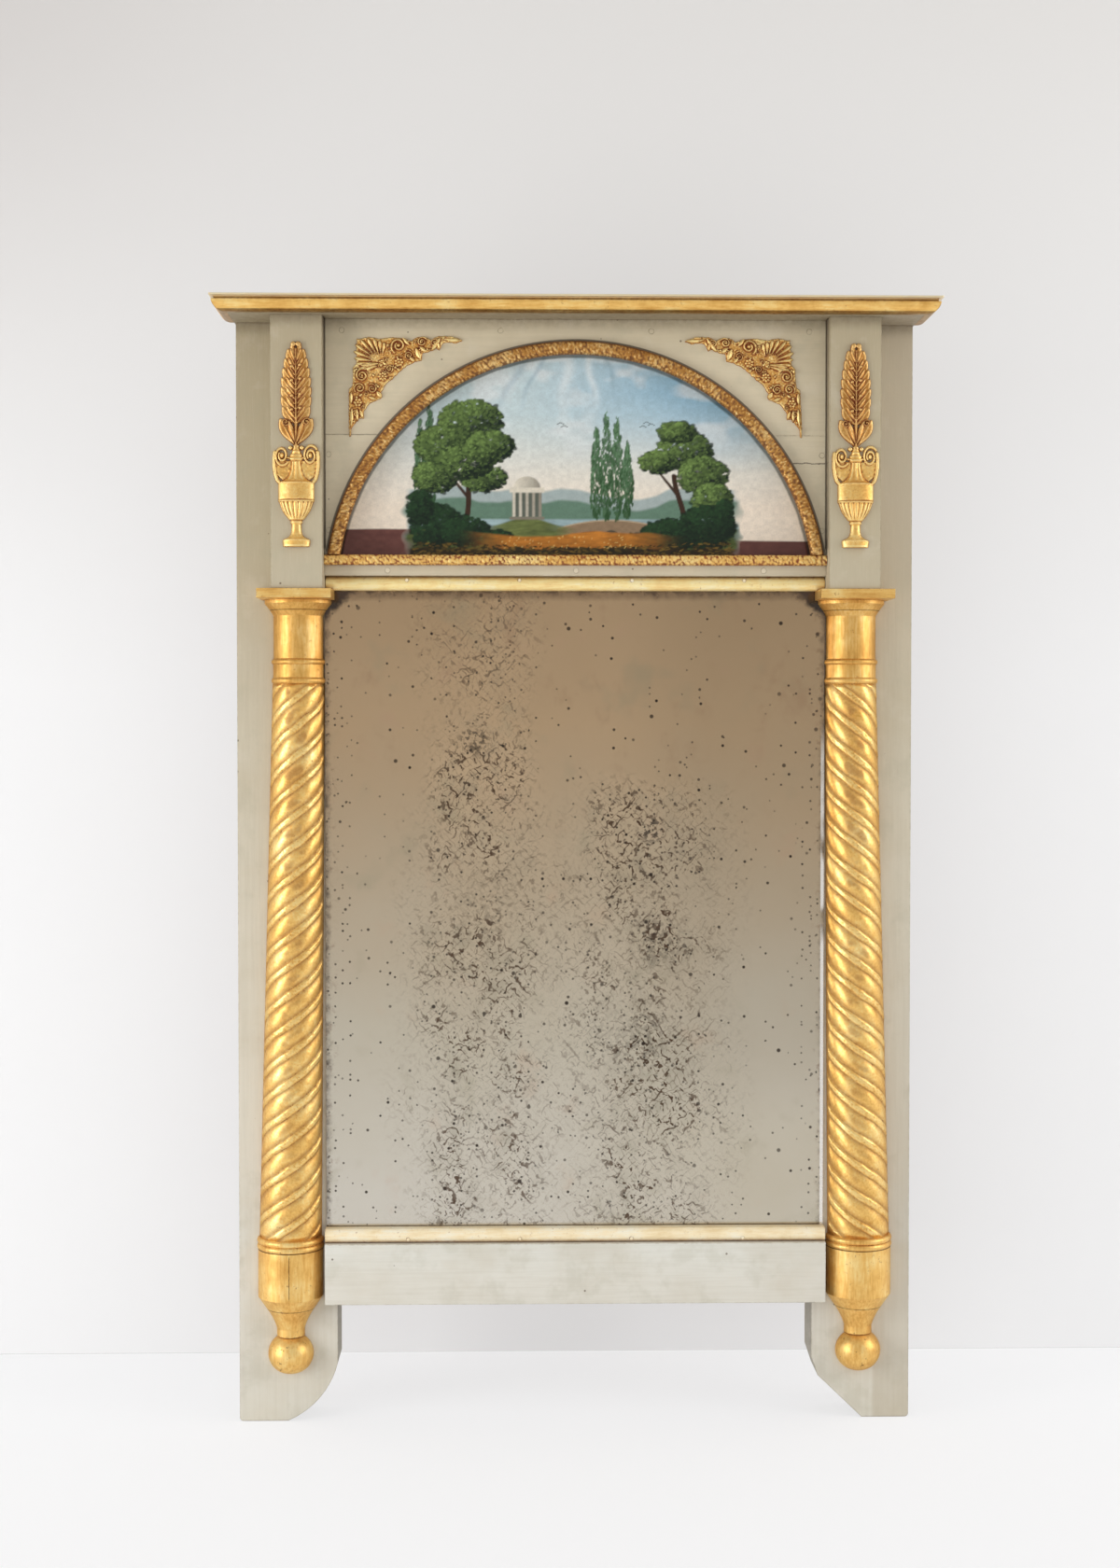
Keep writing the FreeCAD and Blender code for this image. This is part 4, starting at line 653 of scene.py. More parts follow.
def spray_form(x, z):
    """Laurel spray: overlapping pairs of leaves with berries, two round buds on top, a large curled pair below."""
    z = z - SPRAY_FOOT
    forms = [bar(x, z, [(0, -3), (0, 30)], 4.2, 5.0), bar(x, z, [(0, 28), (0, 100)], 2.6, 5.4)]
    for turn in (-1, 1):
        for root, reach in zip(range(82, 16, -10), (8.4, 11.6, 13.8, 15.2, 15.8, 15.6, 14.4)):
            tip, inner_tip = (turn * reach, root + 18.5), (turn * reach * 0.66, root + 19)
            forms.append(leaf(x, z, (turn * 0.6, root), tip, 11.5, 2.6 + root * 0.012, 0.55, 1.1))
            forms.append(leaf(x, z, (turn * 0.6, root + 5), inner_tip, 6.0, 3.6 + root * 0.012, 0.5, 0.9))
        forms += [bead(x, z, (turn * 4.4, level + turn * 0.8), 1.7, 5.6) for level in (37.5, 52.0, 68.0, 82.5)]
        forms += [
            bead(x, z, (turn * 2.5, 105.0), 2.7, 5.0),
            leaf(x, z, (turn * 0.5, 88), (turn * 4.6, 106), 6.0, 4.2, 0.6, 0.7),
            leaf(x, z, (turn * 1.0, -1), (turn * 17.0, 28.0), 13.0, 3.8, 0.6, 1.0),
            scroll(x, z, (turn * 11.0, 24.0), 4.4, 2.2, 5.0, 1.3, 0.4, turn),
            leaf(x, z, (turn * 0.8, 2), (turn * 8.0, 27), 6.5, 5.0, 0.5, 1.0),
        ]
    return np.maximum.reduce(forms)


URN_FOOT = 940.5
URN_HEIGHT = 106.5
URN_LINE = ((0, 13.8), (6.6, 14.4), (7.6, 12.4), (10, 8.2), (12.5, 6.2), (16, 5.3), (23, 5.0), (24.4, 6.2), (27, 6.0),
            (28, 7.7), (32, 11.0), (36, 13.8), (40, 15.8), (46.4, 18.0), (47.2, 18.9), (66.4, 18.9), (67.4, 17.0),
            (69, 13.6), (71, 11.2), (74, 8.9), (80, 6.5), (88, 5.4), (90, 6.8), (93, 7.0), (96, 6.4), (98, 4.6),
            (102, 4.0), (105.5, 3.0), (106.5, 0.5))


def urn_form(x, z):
    """Flattened urn: fluted bowl, plain band, hollow neck and on each side a strap that winds in to a volute."""
    z = z - URN_FOOT
    half = np.interp(z, *zip(*URN_LINE), left=0.01, right=0.01)
    across = np.clip(x / half, -1.4, 1.4)
    form = (2.6 + 0.30 * half) * np.sqrt(fade(1 - across ** 2)) - 0.05
    form = np.where(np.abs(across) >= 1, np.clip((1 - np.abs(across)) * half, -1, 0), form)
    form = np.where((z < 0) | (z > URN_HEIGHT), -1, form)
    flute = np.abs(np.cos(np.arcsin(np.clip(across, -1, 1)) * 10)) ** 0.6
    form = np.where((z > 28) & (z < 46.8) & (form > 0), form + 1.3 * (flute - 0.8) * fade(z - 28, 5), form)
    form = np.where((z > 70) & (z < 89) & (form > 0), form + 0.35 * np.cos(across * 11), form)
    for level, rise, half in ((47.4, 0.9, 0.8), (66.8, 1.1, 0.8), (7.0, 0.7, 0.8), (25.6, 0.8, 0.8), (91.4, 1.0, 0.8),
                              (99.0, 0.8, 0.8), (48.9, -0.7, 0.45), (27.6, -0.7, 0.45), (89.2, -0.7, 0.45),
                              (96.6, -0.7, 0.45)):
        form = np.where(form > 0, form + rise * np.exp(-((z - level) / half) ** 2), form)
    forms = [form]
    for turn in (-1, 1):
        out = turn * x
        ground = np.minimum.reduce([22.0 - out, out - 3.0, z - 67.0 - 0.9 * np.abs(out - 12), 90 - z])
        low = 1.3 + 0.8 * cloudy(x, z, 2.2, 41)
        strap = [(turn * a, b) for a, b in (
            (22.3, 98.5), (23.0, 92), (23.0, 84), (21.8, 76), (19.8, 69.5), (17.0, 66.5))]
        forms += [
            scroll(x, z, (turn * 14.9, 95.0), 11.4, 3.4, 4.8, 1.55, 0.55, turn, 0.105, 1.42, 1.2),
            np.where(ground > 0, np.minimum(low, ground * 2), np.clip(ground, -1, 0)),
            bar(x, z, strap, 3.8, 4.4, 1.2),
            bar(x, z, [(turn * 8.5, 92.5), (turn * 5.0, 92.0)], 2.6, 4.0),
            bead(x, z, (turn * 6.0, 103.0), 2.1, 4.4),
        ]
    return np.maximum.reduce(forms)


# the corner piece's square corner, and its outline as steps inwards and down from there
CORNER_X = 242.0
CORNER_Z = 1166.5
CORNER_LINE = (
    (9.5, 4.5), (22, 2.5), (34, 4), (48, 2.5), (60, 4), (67, 6.5), (74, 2), (84, 2.5), (88, 5), (96, 0.8), (108, 1.5),
    (117, 3.5), (122.5, 6.4), (115, 9.8), (108, 8.5), (101, 9.5), (97.5, 17.5), (93, 14.5), (86, 19), (79.5, 20),
    (79, 28), (71, 29.5), (64, 33), (54.5, 40.5), (48, 47.5), (41.5, 52), (35.5, 62), (36.5, 67.5), (24, 73),
    (17.5, 81), (17.5, 89.5), (12, 88.5), (8.5, 94), (4.6, 99), (3.6, 108), (1.8, 108), (1.0, 98), (0.8, 57.5),
    (4.8, 55), (5.2, 35), (9.0, 31))
CORNER_HEART = (36.0, 30.0)
# volutes: centre, radius, width of the band, turns, start, way round
CORNER_SCROLLS = (
    ((54.0, 12.0), 8.6, 2.7, 1.35, 2.0, 1), ((15.5, 43.5), 7.6, 2.2, 1.7, 1.0, -1),
    ((79.0, 8.0), 5.6, 1.9, 1.6, 0.4, -1), ((13.0, 57.0), 6.2, 2.0, 1.6, 2.4, 1),
    ((65.0, 22.0), 4.6, 1.6, 1.4, 1.2, 1), ((26.0, 57.5), 5.6, 1.8, 1.5, 4.0, 1),
    ((44.5, 36.0), 4.0, 1.5, 1.4, 5.2, -1), ((92.0, 9.0), 4.2, 1.6, 1.4, 0.8, -1),
    ((9.0, 84.0), 4.0, 1.5, 1.4, 3.0, 1))
CORNER_ROSETTES = (((54.5, 29.5), 5.4, 7), ((37.5, 44.5), 5.6, 8), (CORNER_HEART, 3.4, 5), ((11.0, 72.0), 5.2, 6))
# small leaves: root, tip, width
CORNER_LEAVES = (
    ((34, 31), (13, 33.5), 5.4), ((33, 33), (16, 37.5), 4.0), ((58, 3.5), (66, 12), 4.6),
    ((72, 14), (77.5, 27), 6.0), ((76, 13), (84, 18.5), 5.0), ((99, 3), (88.5, 17.5), 5.6),
    ((96, 8), (97, 16.5), 3.6), ((101, 5), (121.5, 6.2), 5.4), ((103, 3), (113, 3), 3.0),
    ((66, 24), (71, 29), 4.4), ((52, 36), (56, 38.5), 4.0), ((44, 45), (47, 47), 4.0),
    ((31, 60), (36, 67), 5.4), ((22, 66), (31, 69), 4.4), ((5, 76), (4.2, 98), 4.6),
    ((10, 78), (10.5, 92), 4.2), ((13, 79), (16.5, 89), 4.2), ((3, 95), (2.7, 108), 1.8),
    ((4, 60), (4, 74), 4.4), ((7, 36), (8, 41), 3.4))


def inside_line(x, z, points):
    """Distance to a closed line of points, positive inside it."""
    near = np.full(x.shape, 1e9)
    within = np.zeros(x.shape, bool)
    for (x0, z0), (x1, z1) in zip(points, points[1:] + points[:1]):
        dx, dz = x1 - x0, z1 - z0
        share = fade(((x - x0) * dx + (z - z0) * dz) / (dx * dx + dz * dz))
        near = np.minimum(near, np.hypot(x - x0 - share * dx, z - z0 - share * dz))
        if dz:
            within ^= ((z0 > z) != (z1 > z)) & (x < x0 + dx * (z - z0) / dz)
    return np.where(within, near, -near)


def spandrel_form(x, z):
    """Cast corner piece: a ribbed palmette in the corner, volutes, rosettes and small leaves along both arms."""
    a, b = CORNER_X - x, CORNER_Z - z
    inset = inside_line(a, b, CORNER_LINE) - 0.9 * cloudy(a, b, 1.7, 5)
    form = np.clip(inset / 0.5, -1, 1)
    form = np.where(form > 0, form * (1.0 + 0.9 * cloudy(a, b, 1.3, 9)), form)
    for index, reach in enumerate((22, 24, 27, 30, 33, 34, 32, 29, 27, 26, 24)):
        angle = math.radians(82 + index * 12.6)
        tip = (CORNER_HEART[0] + reach * math.cos(angle), CORNER_HEART[1] - reach * math.sin(angle))
        form = np.maximum(form, leaf(a, b, CORNER_HEART, tip, 4.6, 3.4, 0.8, 1.8))
    rng = np.random.default_rng(17)

    def off_palmette(place):
        return math.hypot(place[0] - 22, place[1] - 17) > 19

    for _ in range(64):
        place, size = (rng.uniform(3, 108), rng.uniform(4, 86)), rng.uniform(1.9, 3.2)
        turns, start = rng.uniform(0.9, 1.5), rng.uniform(0, 6)
        if off_palmette(place):
            curl = scroll(a, b, place, size, 1.1, 3.4, turns, start, 1, 0.12)
            form = np.where(inset > 1.0, np.maximum(form, curl), form)
    for _ in range(110):
        place = (rng.uniform(2, 116), rng.uniform(3, 94))
        if off_palmette(place):
            form = np.where(inset > 0.8, np.maximum(form, bead(a, b, place, rng.uniform(0.7, 1.3), 3.9)), form)
    for place, radius, width, turns, start, hand in CORNER_SCROLLS:
        ground = (np.hypot(a - place[0], b - place[1]) < radius) & (inset > 1)
        form = np.where(ground, np.minimum(form, 1.2), form)
        form = np.maximum(form, scroll(a, b, place, radius, width, 4.6, turns, start, hand, 0.13, 1.0, 0.5))
    forms = [rosette(a, b, place, radius, petals, 4.8) for place, radius, petals in CORNER_ROSETTES]
    forms += [leaf(a, b, root, tip, width, 4.0, 0.5, 0.9) for root, tip, width in CORNER_LEAVES]
    return np.maximum.reduce([form, *forms])


for side, hand in (("left", -1), ("right", 1)):
    axis = hand * BLOCK_X
    for part, form, half, low, high, finish in (("leaf_spray", spray_form, 20, 1040, 1158, GOLD_SPRAY),
                                                ("urn", urn_form, 27, 938, 1051, GOLD_URN)):
        put_in(on_flat(f"{side}_{part}_carved", axis - half, axis + half, low, high,
                       lambda x, z: form(x - axis, z), BLOCK_FACE, finish), "composition", f"{side}_{part}")
    # the right corner piece leans
    low, high = sorted((hand * 110.0, hand * 245.0))
    put_in(on_flat(side + "_spandrel_carved", low, high, 1055, 1170,
                   lambda x, z: spandrel_form(hand * x + (1 + hand) * 2.5 * fade(z - 1064, 100), z),
                   FRIEZE_FACE, GOLD_CORNER), "composition", side + "_spandrel_ornament")


# ---------------------------------------------------------------- pieces that follow a rule
class Rule(Bench):
    """A Geometry Nodes tree whose sizes are named inputs, in millimetres."""

    def __init__(self, name):
        super().__init__(bpy.data.node_groups.new(name, "GeometryNodeTree"))
        self.tree.interface.new_socket("Geometry", in_out="OUTPUT", socket_type="NodeSocketGeometry")
        self.entry = self.node("NodeGroupInput")

    def size(self, name, value):
        item = self.tree.interface.new_socket(name, in_out="INPUT", socket_type="NodeSocketFloat")
        item.default_value = value
        return Wire(self.tree, self.entry.outputs[name])

    def noise(self, place, scale, detail):
        return self.out("ShaderNodeTexNoise", None, {"Vector": place, "Scale": scale, "Detail": detail})

    def lattice(self, across, up):
        """Net of points, the share of each across, its share upwards, and 0 on the two end rows that close it."""
        net = self.out("GeometryNodeMeshGrid", None,
                       {"Size X": 1.0, "Size Y": 1.0, "Vertices X": across, "Vertices Y": up})
        x, y, _ = self.split(self.out("GeometryNodeInputPosition"))
        row = (y + 0.5) * (up - 1)
        return net, x + 0.5, ((row - 1) / (up - 3)).held(), (row > 0.5) * (row < up - 1.5)

    def close(self, net, place, recess, finish):
        """Set the points, keep the recess mark, join the seams and finish."""
        for kind, feeds in (
                ("StoreNamedAttribute", {"Name": "recess", "Value": recess}),
                ("SetPosition", {"Position": self.stretched(place, (0.001, 0.001, 0.001))}),
                ("MergeByDistance", {"Distance": 0.00001}), ("RealizeInstances", {}),
                ("SetMaterial", {"Material": finish})):
            net = self.out("GeometryNode" + kind, None, {"Geometry": net, **feeds})
        self.node("NodeGroupOutput", None, {0: net})
        return self.tree


def made_by_rule(name, tree, sizes):
    """Run a rule with its sizes and keep the result as a plain closed mesh."""
    piece = bpy.data.objects.new(name, bpy.data.meshes.new(name))
    bpy.context.scene.collection.objects.link(piece)
    rule = piece.modifiers.new(name, "NODES")
    rule.node_group = tree
    for item in tree.interface.items_tree:
        if item.in_out == "INPUT" and item.name in sizes:
            rule[item.identifier] = float(sizes[item.name])
    graph = bpy.context.evaluated_depsgraph_get()
    mesh = bpy.data.meshes.new_from_object(piece.evaluated_get(graph), preserve_all_data_layers=True, depsgraph=graph)
    piece.modifiers.clear()
    piece.data = mesh
    work = bmesh.new()
    work.from_mesh(mesh)
    bmesh.ops.remove_doubles(work, verts=work.verts, dist=1e-6)
    bmesh.ops.recalc_face_normals(work, faces=work.faces)
    work.to_mesh(mesh)
    work.free()
    mesh.shade_smooth()
    mesh.set_sharp_from_angle(angle=math.radians(50))
    return piece


def spiral_shaft(finish):
    """Half-round tapered shaft wound with broad reeds and a narrow fillet between them."""
    r = Rule("spiral_shaft")
    foot_x, top_x = r.size("Foot centre", 307.5), r.size("Top centre", 297.0)
    foot_r, top_r = r.size("Foot radius", 33.6), r.size("Top radius", 28.0)
    foot_z, length = r.size("Foot height", 202.0), r.size("Length", 595.5)
    spacing, starts = r.size("Reed spacing", 31.5), r.size("Starts", 4.0)
    hand, depth, fillet = r.size("Hand", 1.0), r.size("Relief", 2.5), r.size("Fillet share", 0.33)
    net, across, up, ends_open = r.lattice(118, 560)
    # five sixths of the net go round the front, the rest closes the flat back
    turn = (across * 1.2).low(1.0) * math.pi + (across - 1 / 1.2).top(0.0) * 6 * math.pi
    radius = foot_r + (top_r - foot_r) * up
    centre = foot_x + (top_x - foot_x) * up
    z = foot_z + length * up
    skin = r.join(turn * 30, z, 0.0)
    uneven, grit = r.noise(skin, 0.045, 2.0), r.noise(skin, 0.42, 3.0)
    phase = (z / spacing + hand * turn * starts / (2 * math.pi) + (uneven - 0.5) * 0.12).part()
    is_thin = phase > (1 - fillet)
    reed_rise = (1 - (phase / (1 - fillet) * 2 - 1) ** 2).top(0.0)
    thin_rise = ((1 - abs((phase - (1 - fillet)) / fillet * 2 - 1)) * 2.4).low(1.0).top(0.0)
    rise = (1 - is_thin) * (0.12 + reed_rise * 0.62) + is_thin * (0.12 + thin_rise * 0.8)
    front = turn.sin().ease(0.0, 0.12)
    end_fade = (z - foot_z).ease(0.0, 5.0) * (foot_z + length - z).ease(0.0, 4.0)
    rough = (uneven - 0.5) * 0.5 + (grit - 0.5) * (0.15 + is_thin * 0.6)
    lean = (radius - (depth * (1 - rise * end_fade) + rough) * front) * ends_open
    place = r.join(centre + lean * turn.cos(), BACK_Y - POST_FACE - lean * turn.sin().top(0.0), z)
    # painted dark reflection: the front of each reed turns brown where it mirrors the room in front
    painted_dark_reflection = (1 - is_thin) * reed_rise * turn.sin().ease(0.82, 0.98) * uneven.ease(0.3, 0.62) * (0.55 + up * 0.5)
    # painted shade along both edges of the half-round, where it meets the board
    silhouette_shade = turn.sin().ease(0.28, 0.1)
    chafed = is_thin * grit.ease(0.5, 0.64) * 0.62
    return r.close(net, place, (1 - rise).top(painted_dark_reflection).top(silhouette_shade).top(chafed), finish)


def granulated_moulding(name, finish, bent):
    """Narrow rounded moulding with a cast, granular face, straight or bent over the picture."""
    r = Rule(name)
    width, relief = r.size("Width", 14.0), r.size("Relief", 9.0)
    radius, length = r.size("Radius to the middle", 260.0), r.size("Length", 533.0)
    spring, centre_z = r.size("Height of the ends", ARCH_BASE_TOP), r.size("Height of the centre", ARCH_CENTRE_Z)
    grain = r.size("Grain", 2.9)
    net, across, up, ends_open = r.lattice(33, 900 if bent else 640)
    turn = across * 2 * math.pi
    side = turn.cos()
    square = ((side > 0) * 2 - 1) * abs(side) ** 0.6
    high = turn.sin().top(0.0) ** 0.5
    run = up * (radius * 2.82 if bent else length)
    spot = r.join(run / grain, square * width / (2 * grain) * 1.1, 0.0)
    cells = r.out("ShaderNodeTexVoronoi", {"voronoi_dimensions": "2D"}, {"Vector": spot, "Scale": 1.0})
    rough = r.noise(spot, 0.45, 3.0)
    slant = (run / (grain * 1.55) + square * 0.8 + rough * 2.2).part() - 0.5
    grit = (1 - cells * 1.25).top(0.0) * 0.65 + (0.5 - abs(slant)) * 0.35 + (rough - 0.5) * 0.9
    swell = high * (grit - 0.45) * 1.5
    sideways = square * width / 2 * ends_open * (1 + 0.05 * swell)
    y = BACK_Y - FRIEZE_FACE - (relief * high + swell * 1.25) * ends_open
    recess = (1 - high * 0.5 - (grit - 0.32) * 1.3).held()
    if not bent:
        return r.close(net, r.join((up - 0.5) * length, y, centre_z + sideways), recess, finish)
    reach = radius + sideways
    start = ((spring - centre_z) / reach).arcsin()
    angle = start + up * (math.pi - 2 * start)
    place = r.join(reach * angle.cos() * -1, y, centre_z + reach * angle.sin())
    # painted shade along the outer flank of the arch moulding
    return r.close(net, place, recess.top(square.ease(0.62, 0.8)), finish)


SPIRAL = spiral_shaft(GOLD_SPIRAL)
ARCH = granulated_moulding("arch_moulding_cast", GOLD_GRANULAR, True)
ARCH_BASE = granulated_moulding("arch_base_moulding_cast", GOLD_BASE, False)
for name, slot, tree, sizes in (
        ("left_shaft_carved", "gilding", SPIRAL, {"Foot centre": -307.5, "Top centre": -297.0, "Hand": 1.0}),
        ("right_shaft_carved", "gilding", SPIRAL, {"Hand": -1.0}),
        ("arch_moulding_cast", "composition", ARCH, {}),
        ("arch_base_moulding_cast", "composition", ARCH_BASE, {"Width": 11.0, "Height of the centre": 928.5})):
    put_in(made_by_rule(name, tree, sizes), slot, name.rsplit("_", 1)[0])


# ---------------------------------------------------------------- the picture behind its glass
class Panel:
    """A painted panel: colours at the crossings of a fine net, laid on in dabs."""

    def __init__(self, x0, x1, z0, z1):
        self.x, self.z = np.meshgrid(np.arange(x0, x1, PICTURE_STEP), np.arange(z0, z1, PICTURE_STEP))
        self.coat = np.zeros(self.x.shape + (3,))
        self.low = (x0, z0)

    def lay(self, cover, colour):
        """Cover part of the panel with one colour or a field of colours."""
        cover = fade(cover)[..., None]
        self.coat = self.coat * (1 - cover) + np.asarray(colour)[..., :3] * cover

    def dab(self, x, z, wide, high, slant, colour, strength):
        reach = max(wide, high) * 1.3 + PICTURE_STEP
        j0, j1 = (int((x - reach - self.low[0]) / PICTURE_STEP), int((x + reach - self.low[0]) / PICTURE_STEP) + 2)
        i0, i1 = (int((z - reach - self.low[1]) / PICTURE_STEP), int((z + reach - self.low[1]) / PICTURE_STEP) + 2)
        rows, cols = self.x.shape
        j0, j1, i0, i1 = max(j0, 0), min(j1, cols), max(i0, 0), min(i1, rows)
        if j0 >= j1 or i0 >= i1:
            return
        dx, dz = self.x[i0:i1, j0:j1] - x, self.z[i0:i1, j0:j1] - z
        c, s = math.cos(slant), math.sin(slant)
        far = np.hypot((dx * c + dz * s) / wide, (dz * c - dx * s) / high)
        cover = fade((1.15 - far) / 0.4)[..., None] * strength
        here = self.coat[i0:i1, j0:j1]
        self.coat[i0:i1, j0:j1] = here * (1 - cover) + np.asarray(colour)[:3] * cover


def shade(dark, light, share):
    return tuple(d + (l - d) * share for d, l in zip(dark, light))


def foliage(panel, rng, x, z, wide, high, dark, light, dabs, upright=False):
    """Crown of a tree or a bush: dark mass first, lit dabs last, towards the upper left."""
    for number in range(dabs):
        angle, far = rng.uniform(0, 2 * math.pi), math.sqrt(rng.uniform(0, 1))
        dx, dz = wide * far * math.cos(angle), high * far * math.sin(angle)
        if upright:
            dx *= max(0.15, 1 - 0.55 * (dz / high + 1) / 2)
        late = number / dabs
        lit = 0.5 - 0.35 * dx / wide + 0.4 * dz / high + rng.uniform(-0.35, 0.35)
        lit = min(max(lit, 0), 1) * late
        size = 2.6 * rng.uniform(0.6, 1.4) * (1.5 - late)
        slant = rng.uniform(1.2, 1.9) if upright else rng.uniform(-0.9, 0.9)
        panel.dab(x + dx, z + dz, size, size * (0.35 if upright else 0.6), slant, shade(dark, light, lit), 0.85)


def paint(*levels):
    """Paint-chart colour as an array of three."""
    return np.array(tone(*levels)[:3])


def uneven(x, size, seed):
    """Seeded unevenness from 0 to 1 along a level line."""
    return cloudy(x, 0 * x, size, seed)


def paint_sky(panel):
    x, z = panel.x, panel.z
    up, aside = fade(z - 985, 150)[..., None], fade(x + 60, 220)[..., None]
    cream, pale_blue, blue = paint(240, 226, 208), paint(206, 220, 220), paint(118, 172, 204)
    sky = cream + (pale_blue - cream) * fade(up * 1.5)
    panel.coat = sky + (blue - sky) * np.clip((up - 0.25) * 1.6, 0, 0.9) * (0.15 + 0.85 * aside)
    puffs = cloudy(x, z * 2.2, 46, 3) * 0.65 + cloudy(x, z * 2.2, 17, 4) * 0.35
    panel.lay(np.clip((puffs - 0.52) * 3, 0, 0.6) * fade(z - 1030, 40), tone(228, 232, 232))
    # light that the old glass throws back
    for middle, lean, wide in ((-52, 0.5, 5), (-34, 0.42, 3), (-8, 0.1, 6), (14, -0.12, 4), (30, -0.3, 3)):
        streak = np.exp(-((x - middle - lean * (z - 1150) + 2.5 * np.sin(z / 9 + middle)) / wide) ** 2)
        panel.lay(streak * fade(z - 1078, 40) * 0.5, tone(150, 176, 190) if wide % 2 else tone(236, 240, 240))


def paint_shore(panel, scene, strokes):
    """Hills, lake, meadow and a low stone bridge."""
    x, z = panel.x, panel.z
    ridge = 988 + 15 * uneven(x, 60, 11) + 5 * uneven(x, 17, 12)
    panel.lay(fade(ridge + 6 - z, 3) * scene * 0.8, tone(140, 164, 168))
    panel.lay(fade(ridge - 6 - z, 3) * scene * 0.9, tone(88, 122, 100))
    ripple = cloudy(x, z * 9, 22, 21)[..., None]
    panel.lay(fade(974 - z, 2) * fade(z - 952, 2) * scene, paint(150, 172, 176) * (0.75 + 0.5 * ripple))
    bank = 956 + 7 * uneven(x, 40, 31) + 14 * np.exp(-((x - 120) / 60) ** 2) + 10 * np.exp(-((x + 130) / 45) ** 2)
    panel.lay(fade(bank - z, 2) * scene, paint(74, 86, 44) * (0.5 + 1.2 * strokes))
    span = 964 + 9 * fade(1 - ((x - 38) / 58) ** 2)
    deck = fade(span - z, 1.2) * fade(z - 952, 1.5) * fade(60 - np.abs(x - 38), 3)
    panel.lay(deck, tone(142, 118, 92))
    panel.lay(deck * fade(z - span + 2.2) * 0.8, tone(196, 174, 142))
    for middle, half in ((10, 9), (38, 11), (66, 9)):
        panel.lay(fade(half - np.hypot(x - middle, z - 951), 1.2) * fade(z - 951, 1.5) * 0.95, tone(58, 62, 54))


def paint_temple(panel, strokes):
    """Round temple on its knoll."""
    x, z = panel.x + 52, panel.z
    knoll = fade(964 + 12 * np.exp(-(x / 30) ** 2) - z, 2) * fade(z - 950, 2) * np.exp(-(x / 46) ** 6)
    panel.lay(knoll, paint(98, 108, 60) * (0.6 + 0.9 * strokes))
    stone, stone_dark = tone(222, 214, 196), tone(128, 120, 106)
    upright = fade(z - 975) * fade(1003 - z)
    panel.lay(fade(16 - np.abs(x)) * upright, tone(92, 98, 88))
    for column in (-14, -7, 0, 7, 14):
        panel.lay(fade(1.9 - np.abs(x - column), 0.8) * upright, shade(stone, stone_dark, 0.5 + column / 40))
    wide = fade(19 - np.abs(x))
    panel.lay(wide * fade(3.2 - np.abs(z - 1004)), stone)
    dome = fade(15 - np.hypot(x, (z - 1006) * 1.15), 1.2) * fade(z - 1006)
    panel.lay(dome, np.array(stone[:3]) * (0.72 - 0.022 * x)[..., None])
    panel.lay(wide * fade(2.0 - np.abs(z - 974)), stone_dark)


def paint_trees(panel, rng):
    """Poplars, two large trees with bare leaning trunks, and bushes below them."""
    dark, mid, lit, cool = tone(12, 30, 20), tone(40, 74, 40), tone(126, 156, 82), tone(112, 150, 112)
    bark = tone(58, 38, 26)
    for place, foot, height in ((-166, 966, 58), (-156, 964, 66), (22, 974, 48), (33, 972, 58), (44, 974, 54),
                                (55, 974, 40)):
        foliage(panel, rng, place, foot + height, 8.5, height, mid, cool, 330, True)
    for foot, lean, tall in ((-122, 12, 96), (116, -8, 70)):
        for share in np.linspace(0, 1, 90):
            across = foot + lean * share + 3 * math.sin(share * 5)
            panel.dab(across, 950 + tall * share, 4.4 - 2.8 * share, 2.8, 1.5, bark, 0.9)
        for share in np.linspace(0, 1, 40):
            panel.dab(foot + lean * 0.6 - 36 * share, 996 + 44 * share, 2.0 - share, 1.8 - share, 0.6, bark, 0.9)
    for light, crowns in (
            (lit, ((-112, 1078, 34, 22, 900), (-140, 1052, 32, 20, 800), (-92, 1050, 26, 17, 600),
                   (-150, 1018, 24, 17, 560), (-98, 1016, 24, 14, 460), (-118, 1034, 32, 18, 600),
                   (116, 1046, 30, 20, 760), (136, 1020, 27, 20, 700), (88, 1034, 20, 12, 360),
                   (108, 1066, 20, 11, 360), (146, 994, 22, 18, 520))),
            (mid, ((-150, 966, 27, 24, 760), (-118, 960, 26, 16, 560), (-84, 952, 18, 9, 260),
                   (140, 964, 30, 24, 860), (100, 956, 30, 17, 660), (66, 948, 20, 9, 280),
                   (-166, 986, 14, 18, 300), (158, 974, 12, 20, 300)))):
        for place, high, wide, tall, dabs in crowns:
            foliage(panel, rng, place, high, wide, tall, dark, light, dabs)


